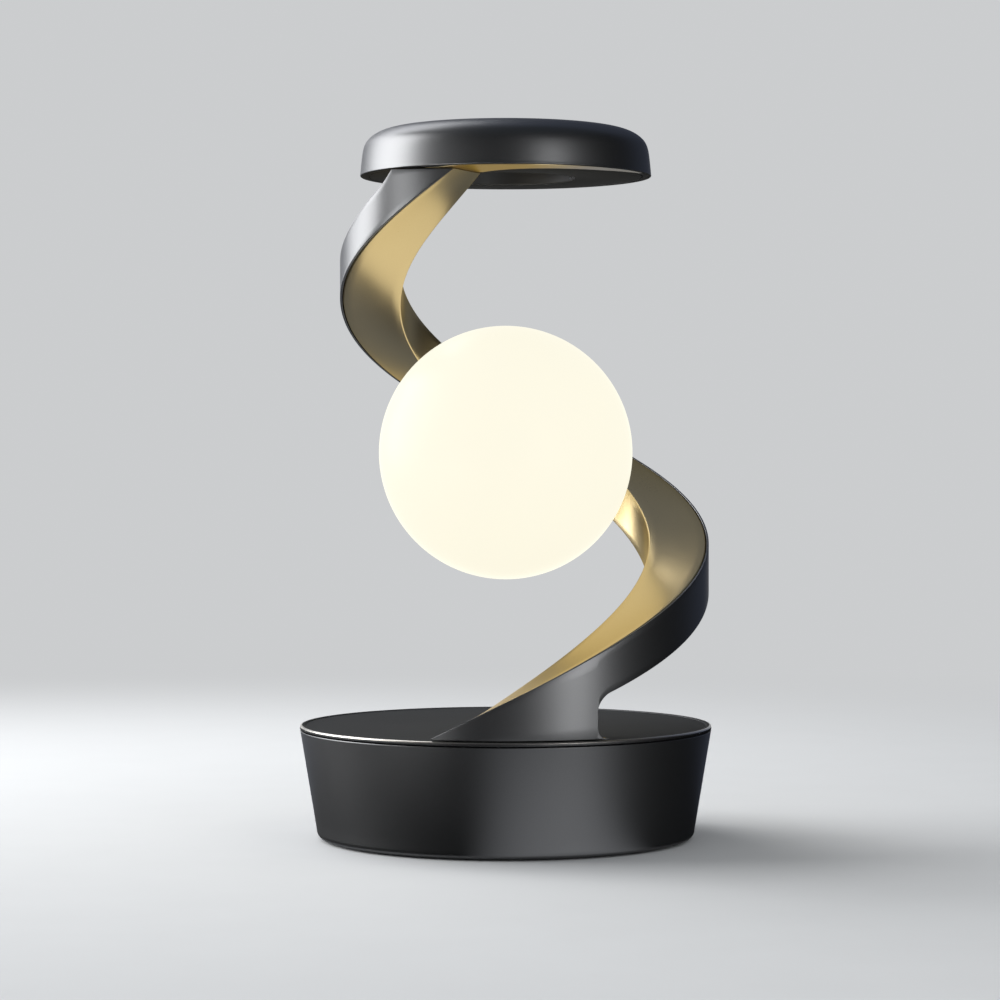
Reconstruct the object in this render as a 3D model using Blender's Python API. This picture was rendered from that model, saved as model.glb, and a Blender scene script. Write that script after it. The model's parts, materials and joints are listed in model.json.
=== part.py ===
"""Spiral bedside lamp: a round base, a motor-driven turntable, a one-turn spiral band,
a lit globe held inside the band, and a round pad on top.

Lengths are in metres and angles in degrees. +Z is up and the front of the lamp is -Y.
The resting face is z = 0, under the middle of the base.
"""

import math

import bmesh
import bpy
import numpy as np
from mathutils import Vector

# Driving dimensions
BASE_RADIUS = 0.0635
BASE_HEIGHT = 0.0351
BASE_FOOT_INSET = 0.0052
LAMP_HEIGHT = 0.219
PAD_RADIUS = 0.045
PAD_HEIGHT = 0.0149
ARM_ANGLE = 65.4
GLOBE_TO_BAND = 0.0021

# Clearances
GAP = 0.0003
OVERRUN = 0.001
SCREW_GAP = 0.0003

# Facets round a full turn
FINE, ROUND, SMALL, TINY = 36, 24, 12, 8
DISC_PHASE = 0.35

# Base shell
SHELL_WALL = 0.0022
SHELL_LIFT = 0.0004
SHELL_FOOT_FILLET = 0.0023
SHELL_TOP_SEAM = 0.0012
LEDGE_WIDTH = 0.0065
LEDGE_DROP = 0.0033
LEDGE_WALL = 0.0018
DECK_DROP = 0.009
DECK_WALL = 0.002

# Bottom cover and what it carries
COVER_LIFT = 0.0006
COVER_WALL = 0.003
GROOVE_DEPTH = 0.0012
RING_WIDTH = 0.014
RING_INSET = 0.0016
BOTTOM_SCREW_INSET = 0.0086
BOTTOM_SCREW_ANGLES = (45.0, 135.0, 225.0, 315.0)
WELL_RADIUS = 0.0044
WELL_HEIGHT = 0.0029
WELL_WEB = 0.0016
BALLAST_INNER = 0.014
BALLAST_MARGIN = 0.0015
BALLAST_THICKNESS = 0.0035
BALLAST_ANGLES = (195.0, 345.0)
BALLAST_SCREW_ANGLES = (240.0, 300.0)

# Turntable plate
PLATE_WALL = 0.0018
PLATE_EDGE_ROUND = 0.0006
PLATE_RIM_WIDTH = 0.0012
PLATE_RECESS = 0.00025
PLATE_BOSS_RADIUS = 0.018
PLATE_BOSS_HEIGHT = 0.002
PLATE_LEAD_SLOT = 0.0052

# Spindle, bush and clip
SPINDLE_RADIUS = 0.0075
SPINDLE_BORE = 0.0052
SPINDLE_FLANGE = 0.0016
SPINDLE_LENGTH = 0.0145
BUSH_WALL = 0.0022
BUSH_LENGTH = 0.006
BUSH_FLANGE = 0.001
BUSH_FLANGE_RADIUS = 0.012
CLIP_THICKNESS = 0.0012
CLIP_RADIUS = 0.0105
CLIP_GROOVE_DEPTH = 0.0007
CLIP_OPENING = 70.0
GLIDE_WIDTH = 0.004

# Gear pair
GEAR_RADIUS = 0.024
GEAR_TEETH = 36
PINION_TEETH = 9
GEAR_THICKNESS = 0.0035
ADDENDUM_SHARE = 0.8
DEDENDUM_SHARE = 1.15
TOOTH_TIP_SHARE = 0.16
TOOTH_ROOT_SHARE = 0.3
MOTOR_ANGLE = 180.0
PINION_SHAFT = 0.002
GEAR_SCREW_RADIUS = 0.0135
GEAR_SCREW_ANGLES = (20.0, 140.0, 220.0)

# Geared motor
MOTOR_RADIUS = 0.0115
MOTOR_FLOOR_GAP = 0.0044
GEARBOX_RADIUS = 0.012
GEARBOX_HEIGHT = 0.0069
GEARBOX_BOSS = 0.0045
EAR_REACH = 0.0165
EAR_RADIUS = 0.0035
EAR_THICKNESS = 0.002

# Slip ring
SLIP_BODY_RADIUS = 0.007
SLIP_BODY_DROP = 0.0009
SLIP_SOCKET_WALL = 0.002
SLIP_SOCKET_SHARE = 0.3
SLIP_ROTOR_HEIGHT = 0.006

# Control board, inlet and button, at the rear
BOARD_WIDTH = 0.032
BOARD_DEPTH = 0.02
BOARD_OFFSET = 0.004
BOARD_INSET = 0.0022
BOARD_THICKNESS = 0.0016
BOARD_HEIGHT = 0.008
BOARD_BOSS_RADIUS = 0.0028
BOARD_BOSS_INSET = 0.003
INLET_WIDTH = 0.009
INLET_HEIGHT = 0.0032
INLET_LENGTH = 0.0092
INLET_RECESS = 0.0009
INLET_MOUTH_DEPTH = 0.006
INLET_WALL = 0.0004
BUTTON_RADIUS = 0.0032
BUTTON_FLANGE = 0.001
BUTTON_FLANGE_LIP = 0.001
BUTTON_PROUD = 0.0012
BUTTON_TRAVEL = 0.0008
BUTTON_OFFSET = 0.014
BUTTON_ROUND = 0.0006
SWITCH_WIDTH = 0.006
SWITCH_DEPTH = 0.0045
SWITCH_HEIGHT = 0.004
SWITCH_STEM = 0.0014

# Spiral band
BAND_START = -110.0
BAND_STEP = 60.0
BAND_RIM_INSET = 0.0003
BAND_HEAD_INSET = 0.0086
BAND_FOOT_DEPTH = 0.0182
BAND_HEAD_DEPTH = 0.0193
BAND_RADIUS_SHARES = (1.0, 0.975, 0.976, 0.869, 0.694, 0.5, 0.0)
BAND_TOP_SHARES = (0.005, 0.193, 0.373, 0.554, 0.72, 0.889, 1.083)
BAND_LOW_SHARES = (-0.04, 0.11, 0.281, 0.465, 0.634, 0.822, 1.013)
BAND_FACET = 7.5
BAND_END_THICKNESS = 0.0005
BAND_SKIN = 0.002
BAND_WALL = 0.002
NOTCH_ANGLE = -64.6
NOTCH_TOP_FILLET = 0.0042
NOTCH_TOE_FILLET = 0.0036
FOOT_SOLID = 0.0045
ROOM_LEAST_HEIGHT = 0.0005
LEAD_HOLE_RADIUS = 0.0028
LEAD_HOLE_ANGLE = -85.0
HEAD_HOLE_ANGLE = 229.0
FOOT_SCREW_ANGLES = (-74.0, -98.0)
HEAD_SCREW_ANGLE = 239.5
HEAD_SCREW_SHARES = (0.3, 0.78)

# Gold flange where the band runs out under the pad
FLANGE_THICKNESS = 0.0012
FLANGE_RIM = 0.0012
FLANGE_ANGLES = (222.0, 229.0, 236.0, 243.0, 248.0, 254.0, 262.0, 272.0, 283.0, 300.0, 320.0, 340.0)
FLANGE_INNER_SHARES = (0.585, 0.54, 0.5, 0.455, 0.43, 0.47, 0.54, 0.62, 0.7, 0.78, 0.85, 0.965)
FLANGE_OUTER_SHARES = (1.0, 0.97, 0.925, 0.885, 0.985, 1.0, 1.0, 1.0, 1.0, 1.0, 1.0, 0.985)

# Pad
PAD_WALL = 0.0022
PAD_TOP_WALL = 0.0024
PAD_HEIGHT_SHARES = (0.0, 0.355, 0.523, 0.685, 0.799, 0.906, 0.973, 1.0)
PAD_RADIUS_SHARES = (1.0, 0.989, 0.982, 0.969, 0.933, 0.878, 0.8, 0.7)
PAD_PLATE = 0.0032
PAD_EDGE_ROUND = 0.0004
RECESS_MARGIN = 0.0233
RECESS_OFFSET = 0.0058
RECESS_DEPTH = 0.0045
RECESS_WALL = 0.0018
COIL_RADIUS = 0.022
COIL_INNER = 0.0095
COIL_THICKNESS = 0.0022
FERRITE_RADIUS = 0.0245
FERRITE_THICKNESS = 0.0008
CHARGER_RADIUS = 0.024
CHARGER_THICKNESS = 0.0013
PAD_BOSS_RADIUS = 0.0042

# Globe and its holder
GLOBE_WALL = 0.0016
GLOBE_MOUTH = 0.0105
COLLAR_DEPTH = 0.0035
COLLAR_STEP = 0.0016
STUD_RADIUS = 0.0028
STUD_BORE = 0.0014
STUD_SHOULDER = 0.0045
STUD_THREAD = 0.0036
NUT_RADIUS = 0.0045
NUT_THICKNESS = 0.0024
LED_BOARD_RADIUS = 0.009
LED_BOARD_THICKNESS = 0.0012
LED_SIZE = 0.003
LED_THICKNESS = 0.001
LED_CIRCLE_RADIUS = 0.0052
LED_COUNT = 3

# Screws
LARGE_SHANK_RADIUS = 0.00145
LARGE_HEAD_RADIUS = 0.0028
LARGE_HEAD_HEIGHT = 0.0014
SMALL_SHANK_RADIUS = 0.0011
SMALL_HEAD_RADIUS = 0.0022
SMALL_HEAD_HEIGHT = 0.0012
SCREW_REACH = 0.008

# Leads held inside the lamp
LEAD_RADIUS = 0.0007
LEAD_OFFSET = 0.0016
LEAD_STEP = 12.0

# Worked out from the driving dimensions
LARGE_SCREW = (LARGE_SHANK_RADIUS, LARGE_HEAD_RADIUS, LARGE_HEAD_HEIGHT)
SMALL_SCREW = (SMALL_SHANK_RADIUS, SMALL_HEAD_RADIUS, SMALL_HEAD_HEIGHT)
BASE_FOOT_RADIUS = BASE_RADIUS - BASE_FOOT_INSET
PAD_UNDERSIDE = LAMP_HEIGHT - PAD_HEIGHT
SEAM_TOP = BASE_HEIGHT - SHELL_TOP_SEAM
SHELL_TOP = SEAM_TOP - GAP
PLATE_TOP = BASE_HEIGHT - PLATE_RECESS
PLATE_UNDERSIDE = PLATE_TOP - PLATE_WALL - GAP / 2
PLATE_BOSS_UNDERSIDE = PLATE_UNDERSIDE - PLATE_BOSS_HEIGHT
LEDGE_TOP = SHELL_TOP - LEDGE_DROP
DECK_TOP = SHELL_TOP - DECK_DROP
DECK_UNDERSIDE = DECK_TOP - DECK_WALL
COVER_TOP = COVER_LIFT + COVER_WALL
GROOVE_TOP = COVER_LIFT + GROOVE_DEPTH
COVER_RADIUS = BASE_FOOT_RADIUS - SHELL_WALL - 2 * GAP
RING_OUTER = COVER_RADIUS - RING_INSET
BOTTOM_SCREW_RADIUS = COVER_RADIUS - BOTTOM_SCREW_INSET
BALLAST_OUTER = BOTTOM_SCREW_RADIUS - WELL_RADIUS - BALLAST_MARGIN
WELL_TOP = COVER_TOP + WELL_HEIGHT
FLANGE_TOP = PLATE_BOSS_UNDERSIDE - GAP
GEAR_TOP = FLANGE_TOP - SPINDLE_FLANGE - GAP
GEAR_BOTTOM = GEAR_TOP - GEAR_THICKNESS
GEAR_MODULE = 2 * GEAR_RADIUS / GEAR_TEETH
PINION_RADIUS = GEAR_MODULE * PINION_TEETH / 2
AXLE_DISTANCE = GEAR_RADIUS + PINION_RADIUS
SPINDLE_BOTTOM = GEAR_BOTTOM - SPINDLE_LENGTH + GEAR_THICKNESS
BUSH_RADIUS = SPINDLE_RADIUS + GAP + BUSH_WALL
BUSH_TOP = DECK_TOP - GAP
BUSH_BOTTOM = BUSH_TOP - BUSH_LENGTH
CLIP_TOP = BUSH_BOTTOM - BUSH_FLANGE - GAP
CLIP_BOTTOM = CLIP_TOP - CLIP_THICKNESS
BOARD_TOP = BOARD_HEIGHT + BOARD_THICKNESS
SERVICE_HEIGHT = BOARD_TOP + GAP + INLET_HEIGHT / 2
SLIP_BOTTOM = COVER_TOP + GAP
SLIP_TOP = SPINDLE_BOTTOM - SLIP_BODY_DROP
GEARBOX_TOP = DECK_UNDERSIDE - GAP
GEARBOX_BOTTOM = GEARBOX_TOP - GEARBOX_HEIGHT
MOTOR_TOP = GEARBOX_BOTTOM - GAP
MOTOR_BOTTOM = COVER_TOP + MOTOR_FLOOR_GAP
BAND_FLOOR = BASE_HEIGHT + GAP
BAND_RISE = PAD_UNDERSIDE - BASE_HEIGHT
BAND_HEAD_RADIUS = PAD_RADIUS - BAND_HEAD_INSET
BAND_FOOT_RADIUS = BASE_RADIUS - BAND_RIM_INSET
BAND_STATIONS = tuple(BAND_START + BAND_STEP * k for k in range(len(BAND_RADIUS_SHARES)))
FLANGE_REACH = PAD_RADIUS - PAD_WALL - 2 * GAP - FLANGE_RIM
PAD_PLATE_TOP = PAD_UNDERSIDE + PAD_PLATE
RECESS_RADIUS = PAD_RADIUS - RECESS_MARGIN
RECESS_TOP = PAD_UNDERSIDE + RECESS_DEPTH
RECESS_ROOF = RECESS_TOP + RECESS_WALL
COIL_TOP = LAMP_HEIGHT - PAD_TOP_WALL - GAP

# Colour, roughness and metallic value of each finish
FINISHES = {
    "graphite_plastic": ((0.055, 0.056, 0.058), 0.42, 0.0),
    "gold_paint": ((0.62, 0.5, 0.27), 0.38, 0.7),
    "opal_plastic": ((0.98, 0.94, 0.82), 0.35, 0.0),
    "inner_plastic": ((0.16, 0.16, 0.17), 0.6, 0.0),
    "white_nylon": ((0.86, 0.86, 0.83), 0.45, 0.0),
    "rubber": ((0.03, 0.03, 0.03), 0.85, 0.0),
    "steel": ((0.6, 0.61, 0.63), 0.35, 1.0),
    "aluminium": ((0.74, 0.75, 0.76), 0.4, 1.0),
    "copper": ((0.72, 0.4, 0.24), 0.35, 1.0),
    "board": ((0.05, 0.22, 0.12), 0.5, 0.0),
    "ferrite": ((0.1, 0.1, 0.11), 0.7, 0.0),
    "led_yellow": ((0.9, 0.75, 0.3), 0.4, 0.0),
    "lead_white": ((0.85, 0.85, 0.84), 0.5, 0.0),
}


def clear_scene():
    for item in list(bpy.data.objects):
        bpy.data.objects.remove(item, do_unlink=True)


def finish_of(name, finish):
    """A material of the piece's own, in the named finish."""
    colour, roughness, metallic = FINISHES[finish]
    made = bpy.data.materials.new(name + "_" + finish)
    made.use_nodes = True
    shader = made.node_tree.nodes["Principled BSDF"]
    shader.inputs["Base Color"].default_value = (*colour, 1.0)
    shader.inputs["Roughness"].default_value = roughness
    shader.inputs["Metallic"].default_value = metallic
    made.diffuse_color = (*colour, 1.0)
    return made


def closed_mesh(name, points, faces):
    """A mesh whose faces all point outwards, shaded smooth where it is round."""
    mesh = bpy.data.meshes.new(name)
    mesh.from_pydata([tuple(p) for p in points], [], faces)
    shape = bmesh.new()
    shape.from_mesh(mesh)
    bmesh.ops.recalc_face_normals(shape, faces=shape.faces)
    shape.to_mesh(mesh)
    shape.free()
    mesh.shade_smooth()
    mesh.set_sharp_from_angle(angle=math.radians(32))
    return mesh


def piece(name, shape, finish, place=(0.0, 0.0, 0.0), parent=None):
    """A named sub-part from a shape, which is a pair of points and faces."""
    made = bpy.data.objects.new(name, closed_mesh(name, *shape))
    made.data.materials.append(finish_of(name, finish))
    made.location = place
    made.parent = parent
    bpy.context.scene.collection.objects.link(made)
    return made


def helper(name, shape, place=(0.0, 0.0, 0.0), parent=None):
    """A hidden shape that a Boolean uses."""
    made = bpy.data.objects.new(name, closed_mesh(name, *shape))
    made.hide_render = True
    made.display_type = "WIRE"
    made.location = place
    made.parent = parent
    bpy.context.scene.collection.objects.link(made)
    return made


def boolean(target, other, operation):
    step = target.modifiers.new(operation.title() + " " + other.name, "BOOLEAN")
    step.operation = operation
    step.solver = "EXACT"
    step.object = other


def cut(target, name, shape, place=(0.0, 0.0, 0.0), parent=None):
    boolean(target, helper(target.name + "_" + name, shape, place, parent), "DIFFERENCE")


def join(target, name, shape, place=(0.0, 0.0, 0.0), parent=None):
    boolean(target, helper(target.name + "_" + name, shape, place, parent), "UNION")


def polar(radius, angle, height=0.0):
    turn = math.radians(angle)
    return (radius * math.cos(turn), radius * math.sin(turn), height)


def swept(sections, closed=False):
    """Joins equal loops of points in a row, round a full circle or with end caps."""
    count = len(sections[0])
    points = [point for section in sections for point in section]
    faces = []
    last = len(sections) if closed else len(sections) - 1
    for k in range(last):
        here, there = k * count, (k + 1) % len(sections) * count
        for j in range(count):
            after = (j + 1) % count
            faces.append((here + j, here + after, there + after, there + j))
    if not closed:
        faces.append(tuple(range(count)))
        faces.append(tuple(range((len(sections) - 1) * count, len(points))))
    return points, faces


def turned(profile, facets, phase=0.0):
    """Turns a closed loop of (radius, height) points about the Z axis. The phase turns its facets."""
    points, rings, faces = [], [], []
    for radius, height in profile:
        count = facets if radius > 0 else 1
        rings.append([len(points) + k for k in range(count)])
        points += [polar(radius, 360 * (k + phase) / facets, height) for k in range(count)]
    for here, there in zip(rings, rings[1:] + rings[:1]):
        for k in range(facets if len(here) + len(there) > 2 else 0):
            after = (k + 1) % facets
            corners = (here[k % len(here)], here[after % len(here)],
                       there[after % len(there)], there[k % len(there)])
            faces.append(tuple(dict.fromkeys(corners)))
    return points, faces


def disc(radius, low, high, facets):
    """A round bar. Its facets are turned a little, so that no edge of it runs along another piece's."""
    return turned([(0.0, low), (radius, low), (radius, high), (0.0, high)], facets, DISC_PHASE)


def tube(inner, outer, low, high, facets):
    return turned([(inner, low), (outer, low), (outer, high), (inner, high)], facets)


def block(low, high):
    """A box between two corners."""
    corners = [(x, y, z) for z in (low[2], high[2]) for x, y in (
        (low[0], low[1]), (high[0], low[1]), (high[0], high[1]), (low[0], high[1]))]
    return swept([corners[:4], corners[4:]])


def arc_points(centre, radius, start, end, steps):
    """Points of an arc in a (radius, height) profile."""
    found = []
    for k in range(steps + 1):
        turn = math.radians(start + (end - start) * k / steps)
        found.append((centre[0] + radius * math.cos(turn), centre[1] + radius * math.sin(turn)))
    return found


def screw(name, size, tip, head_low, place, up=True, parent=None):
    """A screw along Z, its head below its tip unless up is false."""
    shank, head, head_height = size
    way = 1 if up else -1
    head_high = head_low - way * head_height
    profile = [(0.0, tip), (shank, tip), (shank, head_low), (head, head_low),
               (head, head_high), (0.0, head_high)]
    return piece(name, turned(profile, TINY), "steel", place, parent)


def screw_hole(size, low, high):
    """A hole or a bore that a screw passes with clearance."""
    return disc(size[0] + SCREW_GAP, low, high, TINY)


def smooth_curve(xs, ys):
    """The natural cubic through the points, as a function."""
    count, gaps = len(xs), np.diff(xs)
    matrix, right = np.eye(count), np.zeros(count)
    for k in range(1, count - 1):
        matrix[k, k - 1 : k + 2] = gaps[k - 1], 2 * (gaps[k - 1] + gaps[k]), gaps[k]
        right[k] = 6 * ((ys[k + 1] - ys[k]) / gaps[k] - (ys[k] - ys[k - 1]) / gaps[k - 1])
    bends = np.linalg.solve(matrix, right)

    def at(x):
        k = int(np.clip(np.searchsorted(xs, x) - 1, 0, count - 2))
        behind, ahead, gap = x - xs[k], xs[k + 1] - x, gaps[k]
        curved = (bends[k] * ahead**3 + bends[k + 1] * behind**3) / (6 * gap)
        start = (ys[k] / gap - bends[k] * gap / 6) * ahead
        return float(curved + start + (ys[k + 1] / gap - bends[k + 1] * gap / 6) * behind)

    return at


band_share = smooth_curve(BAND_STATIONS, BAND_RADIUS_SHARES)
band_top_share = smooth_curve(BAND_STATIONS, BAND_TOP_SHARES)
band_low_share = smooth_curve(BAND_STATIONS, BAND_LOW_SHARES)


def band_outer(angle):
    return BAND_HEAD_RADIUS + (BAND_FOOT_RADIUS - BAND_HEAD_RADIUS) * band_share(angle)


def band_inner(angle):
    turned_share = (angle - BAND_START) / (BAND_STATIONS[-1] - BAND_START)
    return band_outer(angle) - BAND_FOOT_DEPTH - (BAND_HEAD_DEPTH - BAND_FOOT_DEPTH) * turned_share


def cover_inner(angle):
    return band_outer(angle) - BAND_SKIN


def channel_outer(angle):
    return cover_inner(angle) - GAP


def band_top(angle):
    return BASE_HEIGHT + BAND_RISE * band_top_share(angle)


def band_low(angle):
    return BASE_HEIGHT + BAND_RISE * band_low_share(angle)


def angle_where(height_at, height):
    """The angle at which a rising edge of the band reaches a height."""
    low, high = BAND_STATIONS[0], BAND_STATIONS[-1]
    for _ in range(40):
        middle = (low + high) / 2
        if height_at(middle) < height:
            low = middle
        else:
            high = middle
    return middle


def angles_between(start, end):
    steps = max(1, round((end - start) / BAND_FACET))
    return [start + (end - start) * k / steps for k in range(steps + 1)]


def degrees_along(length, angle):
    """The angle that a length covers along the band's outer face."""
    return math.degrees(length / band_outer(angle))


def band_panel(ceiling):
    """The band's side, as (angle, height) points and faces, with the notch behind its foot."""
    points, faces = [], []

    def point(angle, height):
        points.append((angle, height))
        return len(points) - 1

    def high(angle):
        return min(band_top(angle), ceiling)

    reach = degrees_along(NOTCH_TOP_FILLET, NOTCH_ANGLE)
    toe_reach = degrees_along(NOTCH_TOE_FILLET, NOTCH_ANGLE)
    arch_end = NOTCH_ANGLE + reach
    wall_top = band_low(arch_end) - NOTCH_TOP_FILLET
    foot = [(point(a, BAND_FLOOR), point(a, high(a)))
            for a in angles_between(BAND_START, NOTCH_ANGLE)]
    toe_root = point(NOTCH_ANGLE, BAND_FLOOR + NOTCH_TOE_FILLET)
    wall_end = point(NOTCH_ANGLE, wall_top)
    for (low, top), (next_low, next_top) in zip(foot, foot[1:-1]):
        faces.append((low, next_low, next_top, top))
    (low, top), (last_low, last_top) = foot[-2:]
    faces.append((low, last_low, toe_root, wall_end, last_top, top))
    toe = [(last_low, toe_root)]
    for turn in (22.5, 45.0, 67.5):
        across, along = math.sin(math.radians(turn)), math.cos(math.radians(turn))
        spot = NOTCH_ANGLE + toe_reach * (1 - along)
        toe.append((point(spot, BAND_FLOOR), point(spot, BAND_FLOOR + NOTCH_TOE_FILLET * (1 - across))))
    for (low, top), (next_low, next_top) in zip(toe, toe[1:]):
        faces.append((low, next_low, next_top, top))
    faces.append((toe[-1][0], point(NOTCH_ANGLE + toe_reach, BAND_FLOOR), toe[-1][1]))
    arch = [(wall_end, last_top)]
    for turn in (22.5, 45.0, 67.5):
        across, along = math.sin(math.radians(turn)), math.cos(math.radians(turn))
        spot = NOTCH_ANGLE + reach * (1 - along)
        arch.append((point(spot, wall_top + NOTCH_TOP_FILLET * across), point(spot, high(spot))))
    band_end = angle_where(band_low, ceiling - BAND_END_THICKNESS)
    arch += [(point(a, band_low(a)), point(a, high(a))) for a in angles_between(arch_end, band_end)]
    for (low, top), (next_low, next_top) in zip(arch, arch[1:]):
        faces.append((low, next_low, next_top, top))
    return points, faces


def wrapped(panel, outer_at, inner_at):
    """Wraps a flat panel round the axis, between an outer and an inner radius."""
    flat, faces = panel
    count = len(flat)
    points = [polar(outer_at(angle), angle, height) for angle, height in flat]
    points += [polar(inner_at(angle), angle, height) for angle, height in flat]
    found = [tuple(face) for face in faces]
    found += [tuple(count + k for k in reversed(face)) for face in faces]
    edges = {}
    for face in faces:
        for here, there in zip(face, face[1:] + face[:1]):
            edges[(here, there)] = edges.get((there, here)) is None
            if not edges[(here, there)]:
                edges[(there, here)] = False
    for (here, there), outside in edges.items():
        if outside:
            found.append((there, here, count + here, count + there))
    return points, found


def ring_sector(angles, inner, outer, low, high, closed=False):
    """A flat plate between two radii, which may differ at each angle."""
    sections = []
    for angle, near, far in zip(angles, inner, outer):
        sections.append([polar(near, angle, low), polar(far, angle, low),
                         polar(far, angle, high), polar(near, angle, high)])
    return swept(sections, closed)


def even_sector(start, end, inner, outer, low, high):
    angles = angles_between(start, end)
    return ring_sector(angles, [inner] * len(angles), [outer] * len(angles), low, high)


def shell_outer(height):
    """The base's outer radius at a height, above its bottom fillet."""
    low = SHELL_LIFT + SHELL_FOOT_FILLET
    return BASE_FOOT_RADIUS + (BASE_RADIUS - BASE_FOOT_RADIUS) * (height - low) / (SEAM_TOP - low)


def make_base_shell():
    corner = (BASE_FOOT_RADIUS - SHELL_FOOT_FILLET, SHELL_LIFT + SHELL_FOOT_FILLET)
    inner_foot = BASE_FOOT_RADIUS - SHELL_WALL - GAP / 2
    rim_inner = shell_outer(SHELL_TOP) - SHELL_WALL
    ledge_inner = rim_inner - LEDGE_WIDTH
    boss = BUSH_RADIUS + GAP + DECK_WALL
    ledge_under = LEDGE_TOP - LEDGE_WALL
    profile = [(inner_foot, SHELL_LIFT)]
    profile += arc_points(corner, SHELL_FOOT_FILLET, -80, 0, 3)
    profile += [
        (shell_outer(SHELL_TOP), SHELL_TOP), (rim_inner, SHELL_TOP), (rim_inner, LEDGE_TOP),
        (ledge_inner, LEDGE_TOP), (ledge_inner, DECK_TOP), (BUSH_RADIUS + GAP, DECK_TOP),
        (BUSH_RADIUS + GAP, BUSH_BOTTOM + GAP), (boss, BUSH_BOTTOM + GAP), (boss, DECK_UNDERSIDE),
        (ledge_inner + LEDGE_WALL, DECK_UNDERSIDE), (ledge_inner + LEDGE_WALL, ledge_under),
        (shell_outer(ledge_under) - SHELL_WALL, ledge_under),
        (shell_outer(WELL_TOP) - SHELL_WALL, WELL_TOP), (inner_foot, COVER_TOP + GAP)]
    shell = piece("base_shell", turned(profile, FINE), "graphite_plastic")
    for angle in BOTTOM_SCREW_ANGLES:
        spot = polar(BOTTOM_SCREW_RADIUS, angle)
        boss_shape = disc(WELL_RADIUS - GAP, WELL_TOP + GAP, DECK_UNDERSIDE + OVERRUN, SMALL)
        join(shell, f"boss_{angle:.0f}", boss_shape, spot)
        bore = screw_hole(LARGE_SCREW, COVER_TOP, WELL_TOP + SCREW_REACH + OVERRUN)
        cut(shell, f"bore_{angle:.0f}", bore, spot)
    for k, spot in enumerate(board_screw_places()):
        boss_shape = disc(BOARD_BOSS_RADIUS, BOARD_TOP + GAP, DECK_UNDERSIDE + OVERRUN, SMALL)
        join(shell, f"board_boss_{k}", boss_shape, spot)
        cut(shell, f"board_bore_{k}", screw_hole(SMALL_SCREW, BOARD_HEIGHT, BOARD_TOP + SCREW_REACH), spot)
    for k, spot in enumerate(motor_screw_places()):
        bore = screw_hole(SMALL_SCREW, DECK_UNDERSIDE - OVERRUN, DECK_TOP + OVERRUN)
        cut(shell, f"motor_bore_{k}", bore, spot)
    seat = disc(GEARBOX_BOSS + GAP, DECK_UNDERSIDE - OVERRUN, DECK_TOP + OVERRUN, SMALL)
    cut(shell, "motor_seat", seat, motor_place())
    half, tall = INLET_WIDTH / 2 + GAP, INLET_HEIGHT / 2 + GAP
    rear = shell_outer(SERVICE_HEIGHT)
    cut(shell, "inlet_slot", rounded_slot(half, tall, rear - 2 * SHELL_WALL, rear + OVERRUN, SERVICE_HEIGHT))
    hole = disc(BUTTON_RADIUS + GAP, -2 * SHELL_WALL, 2 * SHELL_WALL, SMALL)
    cut(shell, "button_hole", hole, parent=button_frame())


def rounded_slot(half_width, half_height, near, far, height):
    """A flat slot with round ends, running along Y."""
    loop = []
    for k in range(12):
        turn = math.radians(30 * k + 15)
        side = 1 if math.cos(turn) > 0 else -1
        across = side * (half_width - half_height) + half_height * math.cos(turn)
        loop.append((across, height + half_height * math.sin(turn)))
    return swept([[(x, y, z) for x, z in loop] for y in (near, far)])


def board_rear():
    """Distance of the board's back edge from the X axis, clear of the button's flange."""
    return button_face() + button_flange_outer() - BUTTON_FLANGE - BOARD_INSET


def board_screw_places():
    left = BOARD_OFFSET - BOARD_WIDTH / 2 + BOARD_BOSS_INSET
    right = BOARD_OFFSET + BOARD_WIDTH / 2 - BOARD_BOSS_INSET
    front = board_rear() - BOARD_DEPTH + BOARD_BOSS_INSET
    return (left, front, 0.0), (right, front, 0.0)


def motor_place():
    return polar(AXLE_DISTANCE, MOTOR_ANGLE)


def motor_screw_places():
    x, y, _ = motor_place()
    return (x, y - EAR_REACH, 0.0), (x, y + EAR_REACH, 0.0)


def button_face():
    """Distance of the shell's outer face from the X axis at the button."""
    return math.sqrt(shell_outer(SERVICE_HEIGHT) ** 2 - BUTTON_OFFSET**2)


def button_flange_outer():
    """Distance of the flange's outer face from the button's place, inside the shell's wall."""
    reach = BUTTON_OFFSET + BUTTON_RADIUS + BUTTON_FLANGE_LIP
    wall = shell_outer(SERVICE_HEIGHT) - SHELL_WALL
    return math.sqrt(wall**2 - reach**2) - button_face() - GAP


def button_frame():
    """The button's axis, whose Z points out of the back of the base."""
    frame = bpy.data.objects.get("button_axis")
    if frame is None:
        frame = bpy.data.objects.new("button_axis", None)
        frame.location = (BUTTON_OFFSET, button_face(), SERVICE_HEIGHT)
        frame.rotation_euler = (math.radians(-90), 0.0, 0.0)
        bpy.context.scene.collection.objects.link(frame)
    return frame


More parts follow.
